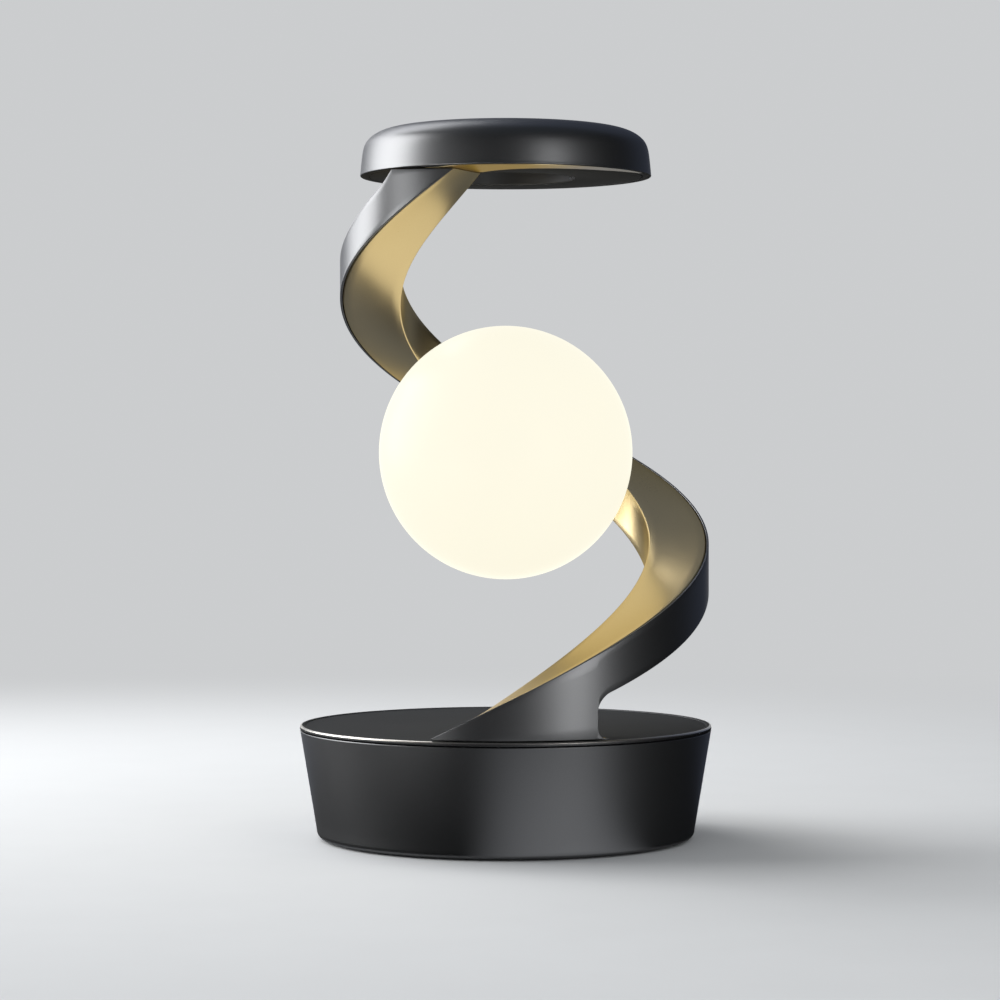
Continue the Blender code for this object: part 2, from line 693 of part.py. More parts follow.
def make_bottom_cover():
    groove_inner = RING_OUTER - RING_WIDTH - GAP
    profile = [(0.0, COVER_LIFT), (groove_inner, COVER_LIFT), (groove_inner, GROOVE_TOP),
               (RING_OUTER + GAP, GROOVE_TOP), (RING_OUTER + GAP, COVER_LIFT),
               (COVER_RADIUS, COVER_LIFT), (COVER_RADIUS, COVER_TOP), (0.0, COVER_TOP)]
    cover = piece("bottom_cover", turned(profile, FINE), "graphite_plastic")
    head = LARGE_SCREW[1]
    for k, angle in enumerate(BOTTOM_SCREW_ANGLES):
        spot = polar(BOTTOM_SCREW_RADIUS, angle)
        web = WELL_TOP - WELL_WEB
        join(cover, f"well_{k}", disc(WELL_RADIUS, GROOVE_TOP + GAP, WELL_TOP, SMALL), spot)
        cut(cover, f"sink_{k}", disc(head + SCREW_GAP, 0.0, web, SMALL), spot)
        cut(cover, f"hole_{k}", screw_hole(LARGE_SCREW, 0.0, WELL_TOP + OVERRUN), spot)
        screw(f"bottom_screw_{k + 1}", LARGE_SCREW, WELL_TOP + SCREW_REACH, web - GAP, spot)
    socket_inner = SLIP_BODY_RADIUS + GAP
    join(cover, "slip_socket", tube(socket_inner, socket_inner + SLIP_SOCKET_WALL, COVER_TOP - OVERRUN,
                                    SLIP_BOTTOM + (SLIP_TOP - SLIP_BOTTOM) * SLIP_SOCKET_SHARE, SMALL))
    for k, angle in enumerate(BALLAST_SCREW_ANGLES):
        spot = polar((BALLAST_INNER + BALLAST_OUTER) / 2, angle)
        tip = COVER_LIFT + COVER_WALL / 2
        cut(cover, f"ballast_bore_{k}", screw_hole(LARGE_SCREW, tip - GAP, COVER_TOP + OVERRUN), spot)
    piece("antislip_ring", tube(RING_OUTER - RING_WIDTH, RING_OUTER, 0.0, GROOVE_TOP - GAP, FINE), "rubber")


def make_ballast():
    low, high = COVER_TOP + GAP, COVER_TOP + GAP + BALLAST_THICKNESS
    slab = even_sector(*BALLAST_ANGLES, BALLAST_INNER, BALLAST_OUTER, low, high)
    plate = piece("ballast_plate", slab, "steel")
    for k, angle in enumerate(BALLAST_SCREW_ANGLES):
        spot = polar((BALLAST_INNER + BALLAST_OUTER) / 2, angle)
        cut(plate, f"hole_{k}", screw_hole(LARGE_SCREW, low - OVERRUN, high + OVERRUN), spot)
        screw(f"ballast_screw_{k + 1}", LARGE_SCREW, COVER_LIFT + COVER_WALL / 2, high + GAP, spot, up=False)


def make_turntable_plate():
    rim_inner = shell_outer(SHELL_TOP) - SHELL_WALL - GAP
    rim = BASE_RADIUS - PLATE_RIM_WIDTH
    corner = (BASE_RADIUS - PLATE_EDGE_ROUND, BASE_HEIGHT - PLATE_EDGE_ROUND)
    profile = [(0.0, PLATE_TOP), (rim - PLATE_RECESS, PLATE_TOP), (rim, BASE_HEIGHT)]
    profile += arc_points(corner, PLATE_EDGE_ROUND, 90, 0, 2)
    profile += [(BASE_RADIUS, SEAM_TOP), (rim_inner, SEAM_TOP), (rim_inner, PLATE_UNDERSIDE),
                (PLATE_BOSS_RADIUS, PLATE_UNDERSIDE), (PLATE_BOSS_RADIUS, PLATE_BOSS_UNDERSIDE),
                (SPINDLE_BORE, PLATE_BOSS_UNDERSIDE), (SPINDLE_BORE, PLATE_UNDERSIDE),
                (0.0, PLATE_UNDERSIDE)]
    plate = piece("turntable_plate", turned(profile, FINE), "graphite_plastic")
    slot = block((0.0, -PLATE_LEAD_SLOT / 2, PLATE_BOSS_UNDERSIDE - OVERRUN),
                 (PLATE_BOSS_RADIUS + OVERRUN, PLATE_LEAD_SLOT / 2, PLATE_UNDERSIDE + GAP))
    helper_slot = helper("turntable_plate_lead_slot", slot)
    helper_slot.rotation_euler = (0.0, 0.0, math.radians(LEAD_HOLE_ANGLE))
    boolean(plate, helper_slot, "DIFFERENCE")
    hole = disc(LEAD_HOLE_RADIUS, PLATE_UNDERSIDE - OVERRUN, BASE_HEIGHT, SMALL)
    cut(plate, "lead_hole", hole, lead_hole_place())
    for k, spot in enumerate(foot_screw_places()):
        cut(plate, f"foot_hole_{k}", screw_hole(LARGE_SCREW, PLATE_UNDERSIDE - OVERRUN, BASE_HEIGHT), spot)
        tip = BAND_FLOOR + FOOT_SOLID - 2 * GAP
        screw(f"foot_screw_{k + 1}", LARGE_SCREW, tip, PLATE_UNDERSIDE - GAP, spot)
    for k, spot in enumerate(gear_screw_places()):
        bore = screw_hole(LARGE_SCREW, PLATE_BOSS_UNDERSIDE - OVERRUN, PLATE_UNDERSIDE + 2 * GAP)
        cut(plate, f"gear_bore_{k}", bore, spot)


def lead_radius_at(angle):
    """Radius of the middle of the room inside the band."""
    return (band_inner(angle) + BAND_WALL + band_outer(angle) - BAND_SKIN - GAP) / 2


def lead_hole_place():
    return polar(lead_radius_at(LEAD_HOLE_ANGLE), LEAD_HOLE_ANGLE)


def foot_screw_places():
    return [polar(lead_radius_at(angle), angle) for angle in FOOT_SCREW_ANGLES]


def gear_screw_places():
    return [polar(GEAR_SCREW_RADIUS, angle) for angle in GEAR_SCREW_ANGLES]


def gear_shape(teeth, start, low, high):
    """A gear with straight-sided teeth, the first of them centred on the start angle."""
    radius = GEAR_MODULE * teeth / 2
    tip = radius + GEAR_MODULE * ADDENDUM_SHARE
    root = radius - GEAR_MODULE * DEDENDUM_SHARE
    corners = ((root, -TOOTH_ROOT_SHARE), (tip, -TOOTH_TIP_SHARE),
               (tip, TOOTH_TIP_SHARE), (root, TOOTH_ROOT_SHARE))
    return swept([[polar(reach, start + 360 / teeth * (k + share), z)
                   for k in range(teeth) for reach, share in corners] for z in (low, high)])


def make_gears():
    gear = piece("driven_gear", gear_shape(GEAR_TEETH, MOTOR_ANGLE, GEAR_BOTTOM, GEAR_TOP), "white_nylon")
    cut(gear, "bore", disc(SPINDLE_RADIUS + GAP, GEAR_BOTTOM - OVERRUN, GEAR_TOP + OVERRUN, ROUND))
    _, head, head_height = LARGE_SCREW
    sink = GEAR_BOTTOM + GAP + head_height
    for k, spot in enumerate(gear_screw_places()):
        cut(gear, f"sink_{k}", disc(head + SCREW_GAP, GEAR_BOTTOM - OVERRUN, sink + GAP, SMALL), spot)
        cut(gear, f"hole_{k}", screw_hole(LARGE_SCREW, GEAR_BOTTOM - OVERRUN, GEAR_TOP + OVERRUN), spot)
        screw(f"gear_screw_{k + 1}", LARGE_SCREW, PLATE_UNDERSIDE, sink, spot)
    half_tooth = 180 / PINION_TEETH
    shape = gear_shape(PINION_TEETH, MOTOR_ANGLE + 180 + half_tooth, GEAR_BOTTOM - GAP, GEAR_TOP + GAP)
    pinion = piece("motor_pinion", shape, "white_nylon", motor_place())
    join(pinion, "shaft", disc(PINION_SHAFT, GEARBOX_TOP - GEARBOX_HEIGHT / 2, GEAR_TOP, TINY), motor_place())


def make_spindle():
    bore, outer = SPINDLE_BORE, SPINDLE_RADIUS
    groove = outer - CLIP_GROOVE_DEPTH
    flange_low = FLANGE_TOP - SPINDLE_FLANGE
    profile = [(bore, SPINDLE_BOTTOM), (outer, SPINDLE_BOTTOM), (outer, CLIP_BOTTOM - GAP),
               (groove, CLIP_BOTTOM - GAP), (groove, CLIP_TOP + GAP), (outer, CLIP_TOP + GAP),
               (outer, flange_low), (PLATE_BOSS_RADIUS, flange_low), (PLATE_BOSS_RADIUS, FLANGE_TOP),
               (bore, FLANGE_TOP)]
    spindle = piece("spindle", turned(profile, ROUND), "aluminium")
    for k, spot in enumerate(gear_screw_places()):
        cut(spindle, f"hole_{k}", screw_hole(LARGE_SCREW, flange_low - OVERRUN, FLANGE_TOP + OVERRUN), spot)
    piece("spindle_clip", even_sector(90 + CLIP_OPENING / 2, 450 - CLIP_OPENING / 2, groove + GAP / 2,
                                      CLIP_RADIUS, CLIP_BOTTOM, CLIP_TOP), "steel")
    inner = outer + GAP
    profile = [(inner, BUSH_BOTTOM - BUSH_FLANGE), (BUSH_FLANGE_RADIUS, BUSH_BOTTOM - BUSH_FLANGE),
               (BUSH_FLANGE_RADIUS, BUSH_BOTTOM), (BUSH_RADIUS, BUSH_BOTTOM),
               (BUSH_RADIUS, BUSH_TOP), (inner, BUSH_TOP)]
    piece("spindle_bush", turned(profile, ROUND), "white_nylon")
    far = shell_outer(SHELL_TOP) - SHELL_WALL - GAP
    ring = tube(far - GLIDE_WIDTH, far, LEDGE_TOP + GAP, PLATE_UNDERSIDE - GAP, FINE)
    piece("glide_ring", ring, "white_nylon")


def make_motor():
    place = motor_place()
    piece("motor_can", disc(MOTOR_RADIUS, MOTOR_BOTTOM, MOTOR_TOP, SMALL), "steel", place)
    gearbox = piece("motor_gearbox", disc(GEARBOX_RADIUS, GEARBOX_BOTTOM, GEARBOX_TOP, SMALL), "steel", place)
    join(gearbox, "boss", disc(GEARBOX_BOSS, GEARBOX_TOP - OVERRUN, DECK_TOP, SMALL), place)
    ear_low = GEARBOX_TOP - EAR_THICKNESS
    ears = [[(EAR_RADIUS * math.cos(math.radians(turn)),
              EAR_RADIUS * math.sin(math.radians(turn)) + math.copysign(EAR_REACH, turn), z)
             for turn in range(-165, 180, 30)] for z in (ear_low, GEARBOX_TOP - GAP / 2)]
    join(gearbox, "ears", swept(ears), place)
    for k, spot in enumerate(motor_screw_places()):
        cut(gearbox, f"hole_{k}", screw_hole(SMALL_SCREW, ear_low - OVERRUN, GEARBOX_TOP + OVERRUN), spot)
        screw(f"motor_screw_{k + 1}", SMALL_SCREW, DECK_TOP - GAP, ear_low - GAP, spot)
    bore_low = GEARBOX_TOP - GEARBOX_HEIGHT / 2 - GAP
    cut(gearbox, "shaft_bore", disc(PINION_SHAFT + GAP, bore_low, DECK_TOP + OVERRUN, TINY), place)


def make_slip_ring():
    piece("slip_ring_body", disc(SLIP_BODY_RADIUS, SLIP_BOTTOM, SLIP_TOP, SMALL), "inner_plastic")
    low = SPINDLE_BOTTOM + GAP
    piece("slip_ring_rotor", disc(SPINDLE_BORE - GAP, low, low + SLIP_ROTOR_HEIGHT, SMALL), "inner_plastic")


def make_control_board():
    left, right = BOARD_OFFSET - BOARD_WIDTH / 2, BOARD_OFFSET + BOARD_WIDTH / 2
    front = board_rear() - BOARD_DEPTH
    slab = block((left, front, BOARD_HEIGHT), (right, board_rear(), BOARD_TOP))
    board = piece("control_board", slab, "board")
    for k, spot in enumerate(board_screw_places()):
        cut(board, f"hole_{k}", screw_hole(SMALL_SCREW, BOARD_HEIGHT - OVERRUN, BOARD_TOP + OVERRUN), spot)
        tip = BOARD_TOP + SCREW_REACH - OVERRUN
        screw(f"board_screw_{k + 1}", SMALL_SCREW, tip, BOARD_HEIGHT - GAP, spot)
    rear = shell_outer(SERVICE_HEIGHT) - INLET_RECESS
    half, tall = INLET_WIDTH / 2, INLET_HEIGHT / 2
    body = rounded_slot(half, tall, rear - INLET_LENGTH, rear, SERVICE_HEIGHT)
    inlet = piece("usb_c_socket", body, "steel")
    cut(inlet, "mouth", rounded_slot(half - INLET_WALL, tall - INLET_WALL, rear - INLET_MOUTH_DEPTH,
                                     rear + OVERRUN, SERVICE_HEIGHT))
    tongue = (half * 2 / 3, INLET_WALL)
    join(inlet, "tongue", block((-tongue[0], rear - INLET_MOUTH_DEPTH - OVERRUN, SERVICE_HEIGHT - tongue[1]),
                                (tongue[0], rear - INLET_RECESS, SERVICE_HEIGHT + tongue[1])))


def make_button():
    """A push button behind the shell's wall, and the switch that it presses."""
    frame = button_frame()
    flange_out = button_flange_outer()
    flange_in = flange_out - BUTTON_FLANGE
    radius = BUTTON_RADIUS
    lip = radius + BUTTON_FLANGE_LIP
    profile = [(0.0, flange_in), (lip, flange_in), (lip, flange_out), (radius, flange_out)]
    profile += arc_points((radius - BUTTON_ROUND, BUTTON_PROUD - BUTTON_ROUND), BUTTON_ROUND, 0, 90, 3)
    profile += [(0.0, BUTTON_PROUD)]
    piece("mode_button", turned(profile, SMALL), "graphite_plastic", parent=frame)
    stem_tip = flange_in - BUTTON_TRAVEL - GAP
    body_far = button_face() + stem_tip - OVERRUN
    left, right = BUTTON_OFFSET - SWITCH_WIDTH / 2, BUTTON_OFFSET + SWITCH_WIDTH / 2
    low = BOARD_TOP + GAP
    body = block((left, body_far - SWITCH_DEPTH, low), (right, body_far, low + SWITCH_HEIGHT))
    switch = piece("mode_switch", body, "inner_plastic")
    join(switch, "stem", disc(SWITCH_STEM, stem_tip - 2 * OVERRUN, stem_tip, TINY), parent=frame)


def room_floor(angle):
    """Floor of the room inside the band: level in the solid foot, then above the band's lower wall."""
    level = BAND_FLOOR + FOOT_SOLID
    if angle < NOTCH_ANGLE - degrees_along(4 * BAND_WALL, NOTCH_ANGLE):
        return level
    return max(level, band_low(angle) + BAND_WALL)


def room_roof(angle):
    return min(band_top(angle), PAD_UNDERSIDE) - BAND_WALL


def make_spiral():
    """The dark cover round the outside of the band, and the gold channel behind it."""
    skin = wrapped(band_panel(PAD_UNDERSIDE - GAP), band_outer, cover_inner)
    piece("spiral_cover", skin, "graphite_plastic")
    panel = band_panel(PAD_UNDERSIDE + FLANGE_THICKNESS / 2)
    channel = piece("spiral_channel", wrapped(panel, channel_outer, band_inner), "gold_paint")
    join(channel, "flange", flange_shape(0.0))
    sections = []
    roof = PAD_UNDERSIDE - BAND_WALL
    floor = BAND_FLOOR + FOOT_SOLID
    start = angle_where(band_top, floor + BAND_WALL + ROOM_LEAST_HEIGHT)
    end = angle_where(band_low, roof - BAND_WALL - ROOM_LEAST_HEIGHT)
    for angle in angles_between(start, end):
        near, far = band_inner(angle) + BAND_WALL, band_outer(angle) + OVERRUN
        bottom, top = room_floor(angle), room_roof(angle)
        sections.append([polar(near, angle, bottom), polar(far, angle, bottom),
                         polar(far, angle, top), polar(near, angle, top)])
    cut(channel, "room", swept(sections))
    hole = disc(LEAD_HOLE_RADIUS, BASE_HEIGHT - OVERRUN, floor + OVERRUN, SMALL)
    cut(channel, "lead_hole", hole, lead_hole_place())
    for k, spot in enumerate(foot_screw_places()):
        bore = screw_hole(LARGE_SCREW, BASE_HEIGHT - OVERRUN, floor - GAP)
        cut(channel, f"foot_bore_{k}", bore, spot)
    head_top = PAD_UNDERSIDE + FLANGE_THICKNESS + OVERRUN
    cut(channel, "head_hole", disc(LEAD_HOLE_RADIUS, roof - OVERRUN, head_top, SMALL), head_hole_place())
    for k, spot in enumerate(head_screw_places()):
        bore = screw_hole(SMALL_SCREW, PAD_UNDERSIDE - BAND_WALL - GAP, head_top)
        cut(channel, f"head_bore_{k}", bore, spot)
    wall_face = band_inner(ARM_ANGLE)
    hole = disc(STUD_RADIUS + GAP, wall_face - OVERRUN, wall_face + 2 * BAND_WALL, SMALL)
    cut(channel, "stud_hole", hole, parent=arm_frame())
    room_low = wall_face + BAND_WALL
    nut_room = disc(NUT_RADIUS + GAP, room_low, room_low + 2 * GAP + STUD_THREAD, SMALL)
    cut(channel, "nut_room", nut_room, parent=arm_frame())


def head_hole_place():
    return polar(lead_radius_at(HEAD_HOLE_ANGLE), HEAD_HOLE_ANGLE)


def head_screw_places():
    near, far = band_inner(HEAD_SCREW_ANGLE), band_outer(HEAD_SCREW_ANGLE) - BAND_SKIN
    return [polar(near + (far - near) * share, HEAD_SCREW_ANGLE) for share in HEAD_SCREW_SHARES]


def flange_shape(room):
    """The crescent under the pad, or the pocket for it when room is given."""
    reach = [FLANGE_REACH * share for share in FLANGE_OUTER_SHARES]
    near = [FLANGE_REACH * share for share in FLANGE_INNER_SHARES]
    angles = list(FLANGE_ANGLES)
    if room:
        reach = [radius + room for radius in reach]
        near = [radius - room for radius in near]
        spare = math.degrees(room / FLANGE_REACH)
        angles[0] -= 2 * spare
        angles[-1] += spare
    low = PAD_UNDERSIDE - (OVERRUN if room else 0.0)
    return ring_sector(angles, near, reach, low, PAD_UNDERSIDE + FLANGE_THICKNESS + room)


def make_pad():
    outer = [(PAD_RADIUS * r, PAD_UNDERSIDE + PAD_HEIGHT * h)
             for r, h in zip(PAD_RADIUS_SHARES, PAD_HEIGHT_SHARES)]
    inner_height = PAD_HEIGHT - PAD_TOP_WALL
    inner_reach = 1 - PAD_WALL / PAD_RADIUS
    inner = [(PAD_RADIUS * r * inner_reach, PAD_UNDERSIDE + inner_height * h)
             for r, h in zip(PAD_RADIUS_SHARES, PAD_HEIGHT_SHARES)]
    lip = PAD_EDGE_ROUND
    profile = [(outer[0][0] - lip, outer[0][1]), (outer[0][0], outer[0][1] + lip)] + outer[1:]
    profile += [(0.0, LAMP_HEIGHT), (0.0, inner[-1][1])] + inner[::-2] + [inner[0]]
    cover = piece("pad_top_cover", turned(profile, FINE), "graphite_plastic")
    join(cover, "boss", disc(PAD_BOSS_RADIUS, RECESS_ROOF + GAP, COIL_TOP + GAP + OVERRUN, SMALL))
    cut(cover, "bore", screw_hole(LARGE_SCREW, RECESS_ROOF, COIL_TOP))
    slab = disc(inner[0][0] - 2 * GAP, PAD_UNDERSIDE, PAD_PLATE_TOP, FINE)
    plate = piece("pad_bottom_plate", slab, "graphite_plastic")
    centre = (0.0, RECESS_OFFSET, 0.0)
    join(plate, "roof", disc(RECESS_RADIUS + RECESS_WALL, PAD_UNDERSIDE + GAP, RECESS_ROOF, ROUND), centre)
    cut(plate, "recess", disc(RECESS_RADIUS, PAD_UNDERSIDE - OVERRUN, RECESS_TOP, ROUND), centre)
    cut(plate, "pocket", flange_shape(GAP))
    cut(plate, "screw_hole", screw_hole(LARGE_SCREW, RECESS_TOP - OVERRUN, RECESS_ROOF + OVERRUN))
    screw("pad_screw", LARGE_SCREW, COIL_TOP - GAP, RECESS_TOP - GAP, (0.0, 0.0, 0.0))
    hole = disc(LEAD_HOLE_RADIUS, PAD_UNDERSIDE, PAD_PLATE_TOP + OVERRUN, SMALL)
    cut(plate, "lead_hole", hole, head_hole_place())
    for k, spot in enumerate(head_screw_places()):
        cut(plate, f"head_hole_{k}", screw_hole(SMALL_SCREW, PAD_UNDERSIDE, PAD_PLATE_TOP + OVERRUN), spot)
        tip = PAD_UNDERSIDE - BAND_WALL + GAP
        screw(f"head_screw_{k + 1}", SMALL_SCREW, tip, PAD_PLATE_TOP + GAP, spot, up=False)
    coil = tube(COIL_INNER, COIL_RADIUS, COIL_TOP - COIL_THICKNESS, COIL_TOP, ROUND)
    piece("charging_coil", coil, "copper")
    ferrite_top = COIL_TOP - COIL_THICKNESS - GAP
    hole = PAD_BOSS_RADIUS + GAP
    sheet = tube(hole, FERRITE_RADIUS, ferrite_top - FERRITE_THICKNESS, ferrite_top, ROUND)
    piece("ferrite_sheet", sheet, "ferrite")
    board_low = RECESS_ROOF + GAP
    board = tube(hole, CHARGER_RADIUS, board_low, board_low + CHARGER_THICKNESS, ROUND)
    piece("charger_board", board, "board")


def globe_height():
    return (band_top(ARM_ANGLE) + band_low(ARM_ANGLE)) / 2


def arm_frame():
    """The globe's axis: its Z points from the globe's centre to the band."""
    frame = bpy.data.objects.get("globe_axis")
    if frame is None:
        frame = bpy.data.objects.new("globe_axis", None)
        frame.location = (0.0, 0.0, globe_height())
        frame.rotation_euler = (0.0, math.radians(90), math.radians(ARM_ANGLE))
        bpy.context.scene.collection.objects.link(frame)
    return frame


def make_globe():
    frame = arm_frame()
    wall_face = band_inner(ARM_ANGLE)
    radius = wall_face - GLOBE_TO_BAND
    mouth = math.degrees(math.acos(GLOBE_MOUTH / radius))
    inside = radius - GLOBE_WALL
    inside_mouth = math.degrees(math.acos(GLOBE_MOUTH / inside))
    profile = [(0.0, -radius)] + arc_points((0.0, 0.0), radius, -90, mouth, 12)[1:]
    profile += arc_points((0.0, 0.0), inside, inside_mouth, -90, 6)[:-1] + [(0.0, -inside)]
    piece("globe_shell", turned(profile, ROUND), "opal_plastic", parent=frame)
    rim = math.sqrt(radius**2 - GLOBE_MOUTH**2)
    seat = wall_face - 3 * GAP
    neck = GLOBE_MOUTH - GAP
    nut_low = wall_face + BAND_WALL + GAP
    stud_end = nut_low + STUD_THREAD
    profile = [(STUD_BORE, rim - COLLAR_DEPTH), (neck, rim - COLLAR_DEPTH), (neck, rim),
               (neck - COLLAR_STEP, radius - GAP), (STUD_SHOULDER, radius - GAP), (STUD_SHOULDER, seat),
               (STUD_RADIUS, seat), (STUD_RADIUS, stud_end), (STUD_BORE, stud_end)]
    piece("globe_collar", turned(profile, SMALL), "aluminium", parent=frame)
    nut_high = nut_low + NUT_THICKNESS
    hexagon = [[polar(NUT_RADIUS, 60 * k + 30, z) for k in range(6)] for z in (nut_low, nut_high)]
    nut = piece("globe_nut", swept(hexagon), "steel", parent=frame)
    thread = disc(STUD_RADIUS + GAP, nut_low - OVERRUN, nut_high + OVERRUN, SMALL)
    cut(nut, "thread", thread, parent=frame)
    board_top = rim - COLLAR_DEPTH - GAP
    board_low = board_top - LED_BOARD_THICKNESS
    piece("led_board", tube(STUD_BORE, LED_BOARD_RADIUS, board_low, board_top, SMALL), "board", parent=frame)
    half = LED_SIZE / 2
    for k in range(LED_COUNT):
        x, y, _ = polar(LED_CIRCLE_RADIUS, 360 * k / LED_COUNT)
        piece(f"led_chip_{k + 1}", block((x - half, y - half, board_low - GAP - LED_THICKNESS),
                                         (x + half, y + half, board_low - GAP)), "led_yellow", parent=frame)
    return stud_end, board_top


def lead(name, route):
    """A round lead through the route's points."""
    curve = bpy.data.curves.new(name, "CURVE")
    curve.dimensions = "3D"
    curve.bevel_depth = LEAD_RADIUS
    curve.bevel_resolution = 1
    curve.use_fill_caps = True
    spline = curve.splines.new("POLY")
    spline.points.add(len(route) - 1)
    for spot, place in zip(spline.points, route):
        spot.co = (*place, 1.0)
    made = bpy.data.objects.new(name, curve)
    curve.materials.append(finish_of(name, "lead_white"))
    bpy.context.scene.collection.objects.link(made)


def band_route(side, end_angle):
    """Points through the spindle, under the plate and up inside the band."""
    level = PLATE_UNDERSIDE - LEAD_RADIUS - GAP
    bend = 3 * LEAD_RADIUS
    start = SPINDLE_BOTTOM + SLIP_ROTOR_HEIGHT + 2 * GAP
    reach = lead_radius_at(LEAD_HOLE_ANGLE)
    floor = BAND_FLOOR + FOOT_SOLID
    turn = math.radians(LEAD_HOLE_ANGLE)
    across = Vector((-math.sin(turn), math.cos(turn), 0.0)) * side * LEAD_OFFSET

    def at(radius, height):
        return Vector(polar(radius, LEAD_HOLE_ANGLE, height)) + across

    route = [at(0.0, start)]
    route += [at(*spot) for spot in arc_points((bend, level - bend), bend, 180, 90, 4)]
    route += [at(*spot) for spot in arc_points((reach - bend, level + bend), bend, -90, 0, 4)]
    route += [at(reach, floor), at(reach, floor + bend)]
    first = LEAD_HOLE_ANGLE + LEAD_STEP
    steps = round((end_angle - first) / LEAD_STEP)
    for angle in [first + (end_angle - first) * k / steps for k in range(steps + 1)]:
        middle = (room_floor(angle) + room_roof(angle)) / 2
        route.append(polar(lead_radius_at(angle) + side * LEAD_OFFSET, angle, middle))
    return route


def make_leads(stud_end, board_top):
    height = globe_height()
    route = band_route(-1, ARM_ANGLE - LEAD_STEP)
    outside = stud_end + 2 * LEAD_RADIUS
    for radius in (outside, stud_end, board_top - LED_BOARD_THICKNESS / 2):
        route.append(polar(radius, ARM_ANGLE, height))
    lead("led_lead", route)
    route = band_route(1, HEAD_HOLE_ANGLE - LEAD_STEP)
    x, y, _ = head_hole_place()
    inward = (CHARGER_RADIUS - 2 * LEAD_RADIUS) / math.hypot(x, y)
    route += [(x, y, room_roof(HEAD_HOLE_ANGLE)), (x, y, PAD_PLATE_TOP + LEAD_RADIUS),
              (x * inward, y * inward, RECESS_ROOF - LEAD_RADIUS)]
    lead("coil_lead", route)
    front = board_rear() - BOARD_DEPTH + 2 * LEAD_RADIUS
    rest = BOARD_TOP + GAP + LEAD_RADIUS
    lead("slip_ring_lead", [(0.0, SLIP_BODY_RADIUS + GAP, SLIP_TOP - 2 * LEAD_RADIUS), (0.0, front, rest)])
    x, y, _ = motor_place()
    end = BOARD_OFFSET - BOARD_WIDTH / 2 + 2 * BOARD_BOSS_INSET + LEAD_RADIUS
    lead("motor_lead", [(x + MOTOR_RADIUS + LEAD_RADIUS + GAP, y, rest), (end, front, rest)])


def build():
    clear_scene()
    make_base_shell()
    make_bottom_cover()
    make_ballast()
    make_turntable_plate()
    make_gears()
    make_spindle()
    make_motor()
    make_slip_ring()
    make_control_board()
    make_button()
    make_spiral()
    make_pad()
    make_leads(*make_globe())


build()
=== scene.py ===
import json
import math
from collections import namedtuple

import bmesh
import bpy
import numpy as np
from mathutils import Matrix, Vector


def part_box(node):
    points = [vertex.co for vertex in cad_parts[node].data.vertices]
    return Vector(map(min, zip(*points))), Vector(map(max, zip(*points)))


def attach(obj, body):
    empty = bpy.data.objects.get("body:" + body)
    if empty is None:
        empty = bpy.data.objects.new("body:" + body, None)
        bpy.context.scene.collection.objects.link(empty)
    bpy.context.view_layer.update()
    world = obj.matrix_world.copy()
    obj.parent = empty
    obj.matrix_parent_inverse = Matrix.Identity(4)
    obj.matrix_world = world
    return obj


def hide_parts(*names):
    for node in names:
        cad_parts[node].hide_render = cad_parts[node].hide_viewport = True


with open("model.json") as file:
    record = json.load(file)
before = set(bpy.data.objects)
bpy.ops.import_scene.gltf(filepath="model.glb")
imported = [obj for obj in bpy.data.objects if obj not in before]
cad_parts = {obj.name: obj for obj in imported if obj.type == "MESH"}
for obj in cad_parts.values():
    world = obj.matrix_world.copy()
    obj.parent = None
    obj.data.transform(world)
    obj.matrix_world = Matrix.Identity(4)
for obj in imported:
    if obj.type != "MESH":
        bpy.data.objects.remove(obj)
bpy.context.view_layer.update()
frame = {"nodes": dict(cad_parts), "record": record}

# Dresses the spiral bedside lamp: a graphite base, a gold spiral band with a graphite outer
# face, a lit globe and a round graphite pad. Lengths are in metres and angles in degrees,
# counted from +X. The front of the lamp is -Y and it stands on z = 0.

# Sizes that the lamp is made to
BASE_RADIUS = 0.0635
BASE_FOOT_RADIUS = 0.0583
PAD_RADIUS = 0.045
SEAM = 0.0003
BASE_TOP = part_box("turntable_plate")[1].z
LAMP_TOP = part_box("pad_top_cover")[1].z
PAD_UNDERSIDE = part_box("pad_bottom_plate")[0].z
SHELL_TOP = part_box("base_shell")[1].z
SHELL_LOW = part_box("base_shell")[0].z

# The band: one station each BAND_STEP degrees, with shares of its radius and rise
BAND_START = -110.0
BAND_STEP = 60.0
BAND_FOOT_RADIUS = 0.0632
BAND_HEAD_RADIUS = 0.0364
BAND_FOOT_DEPTH = 0.0182
BAND_HEAD_DEPTH = 0.0193
BAND_RISE = 0.169
BAND_RADIUS_SHARES = (1.0, 0.975, 0.976, 0.869, 0.694, 0.5, 0.0)
BAND_TOP_SHARES = (0.005, 0.193, 0.373, 0.554, 0.72, 0.889, 1.083)
BAND_LOW_SHARES = (-0.04, 0.11, 0.281, 0.465, 0.634, 0.822, 1.013)
BAND_FACET = 1.0
BAND_END_STEP = 0.05
BAND_EDGE = 0.00045
BAND_EDGE_STEPS = 3
BAND_EDGE_ROOM = 2.5
BAND_SIDE_PARTS = 6
BAND_LIP = 0.0007
BAND_LEAST = 0.0004
COVER_EDGE = 0.00025
FLARE_START = 213.0
FLARE_END = 221.5
FLARE_RISE = 0.0019
LEAN_START = 196.0
LEAN_END = 226.0
LEAN = 0.17
NOTCH_ANGLE = -64.6
NOTCH_WALL_TURN = 0.01
NOTCH_TOP_FILLET = 0.0042
NOTCH_TOE_FILLET = 0.0036
NOTCH_STEPS = 8

# What each point of the flat band carries for the tree that bends it
BAND_COLUMNS = ("angle", "low_drop", "top_drop", "depth_share", "height_share", "step_in", "step_up")

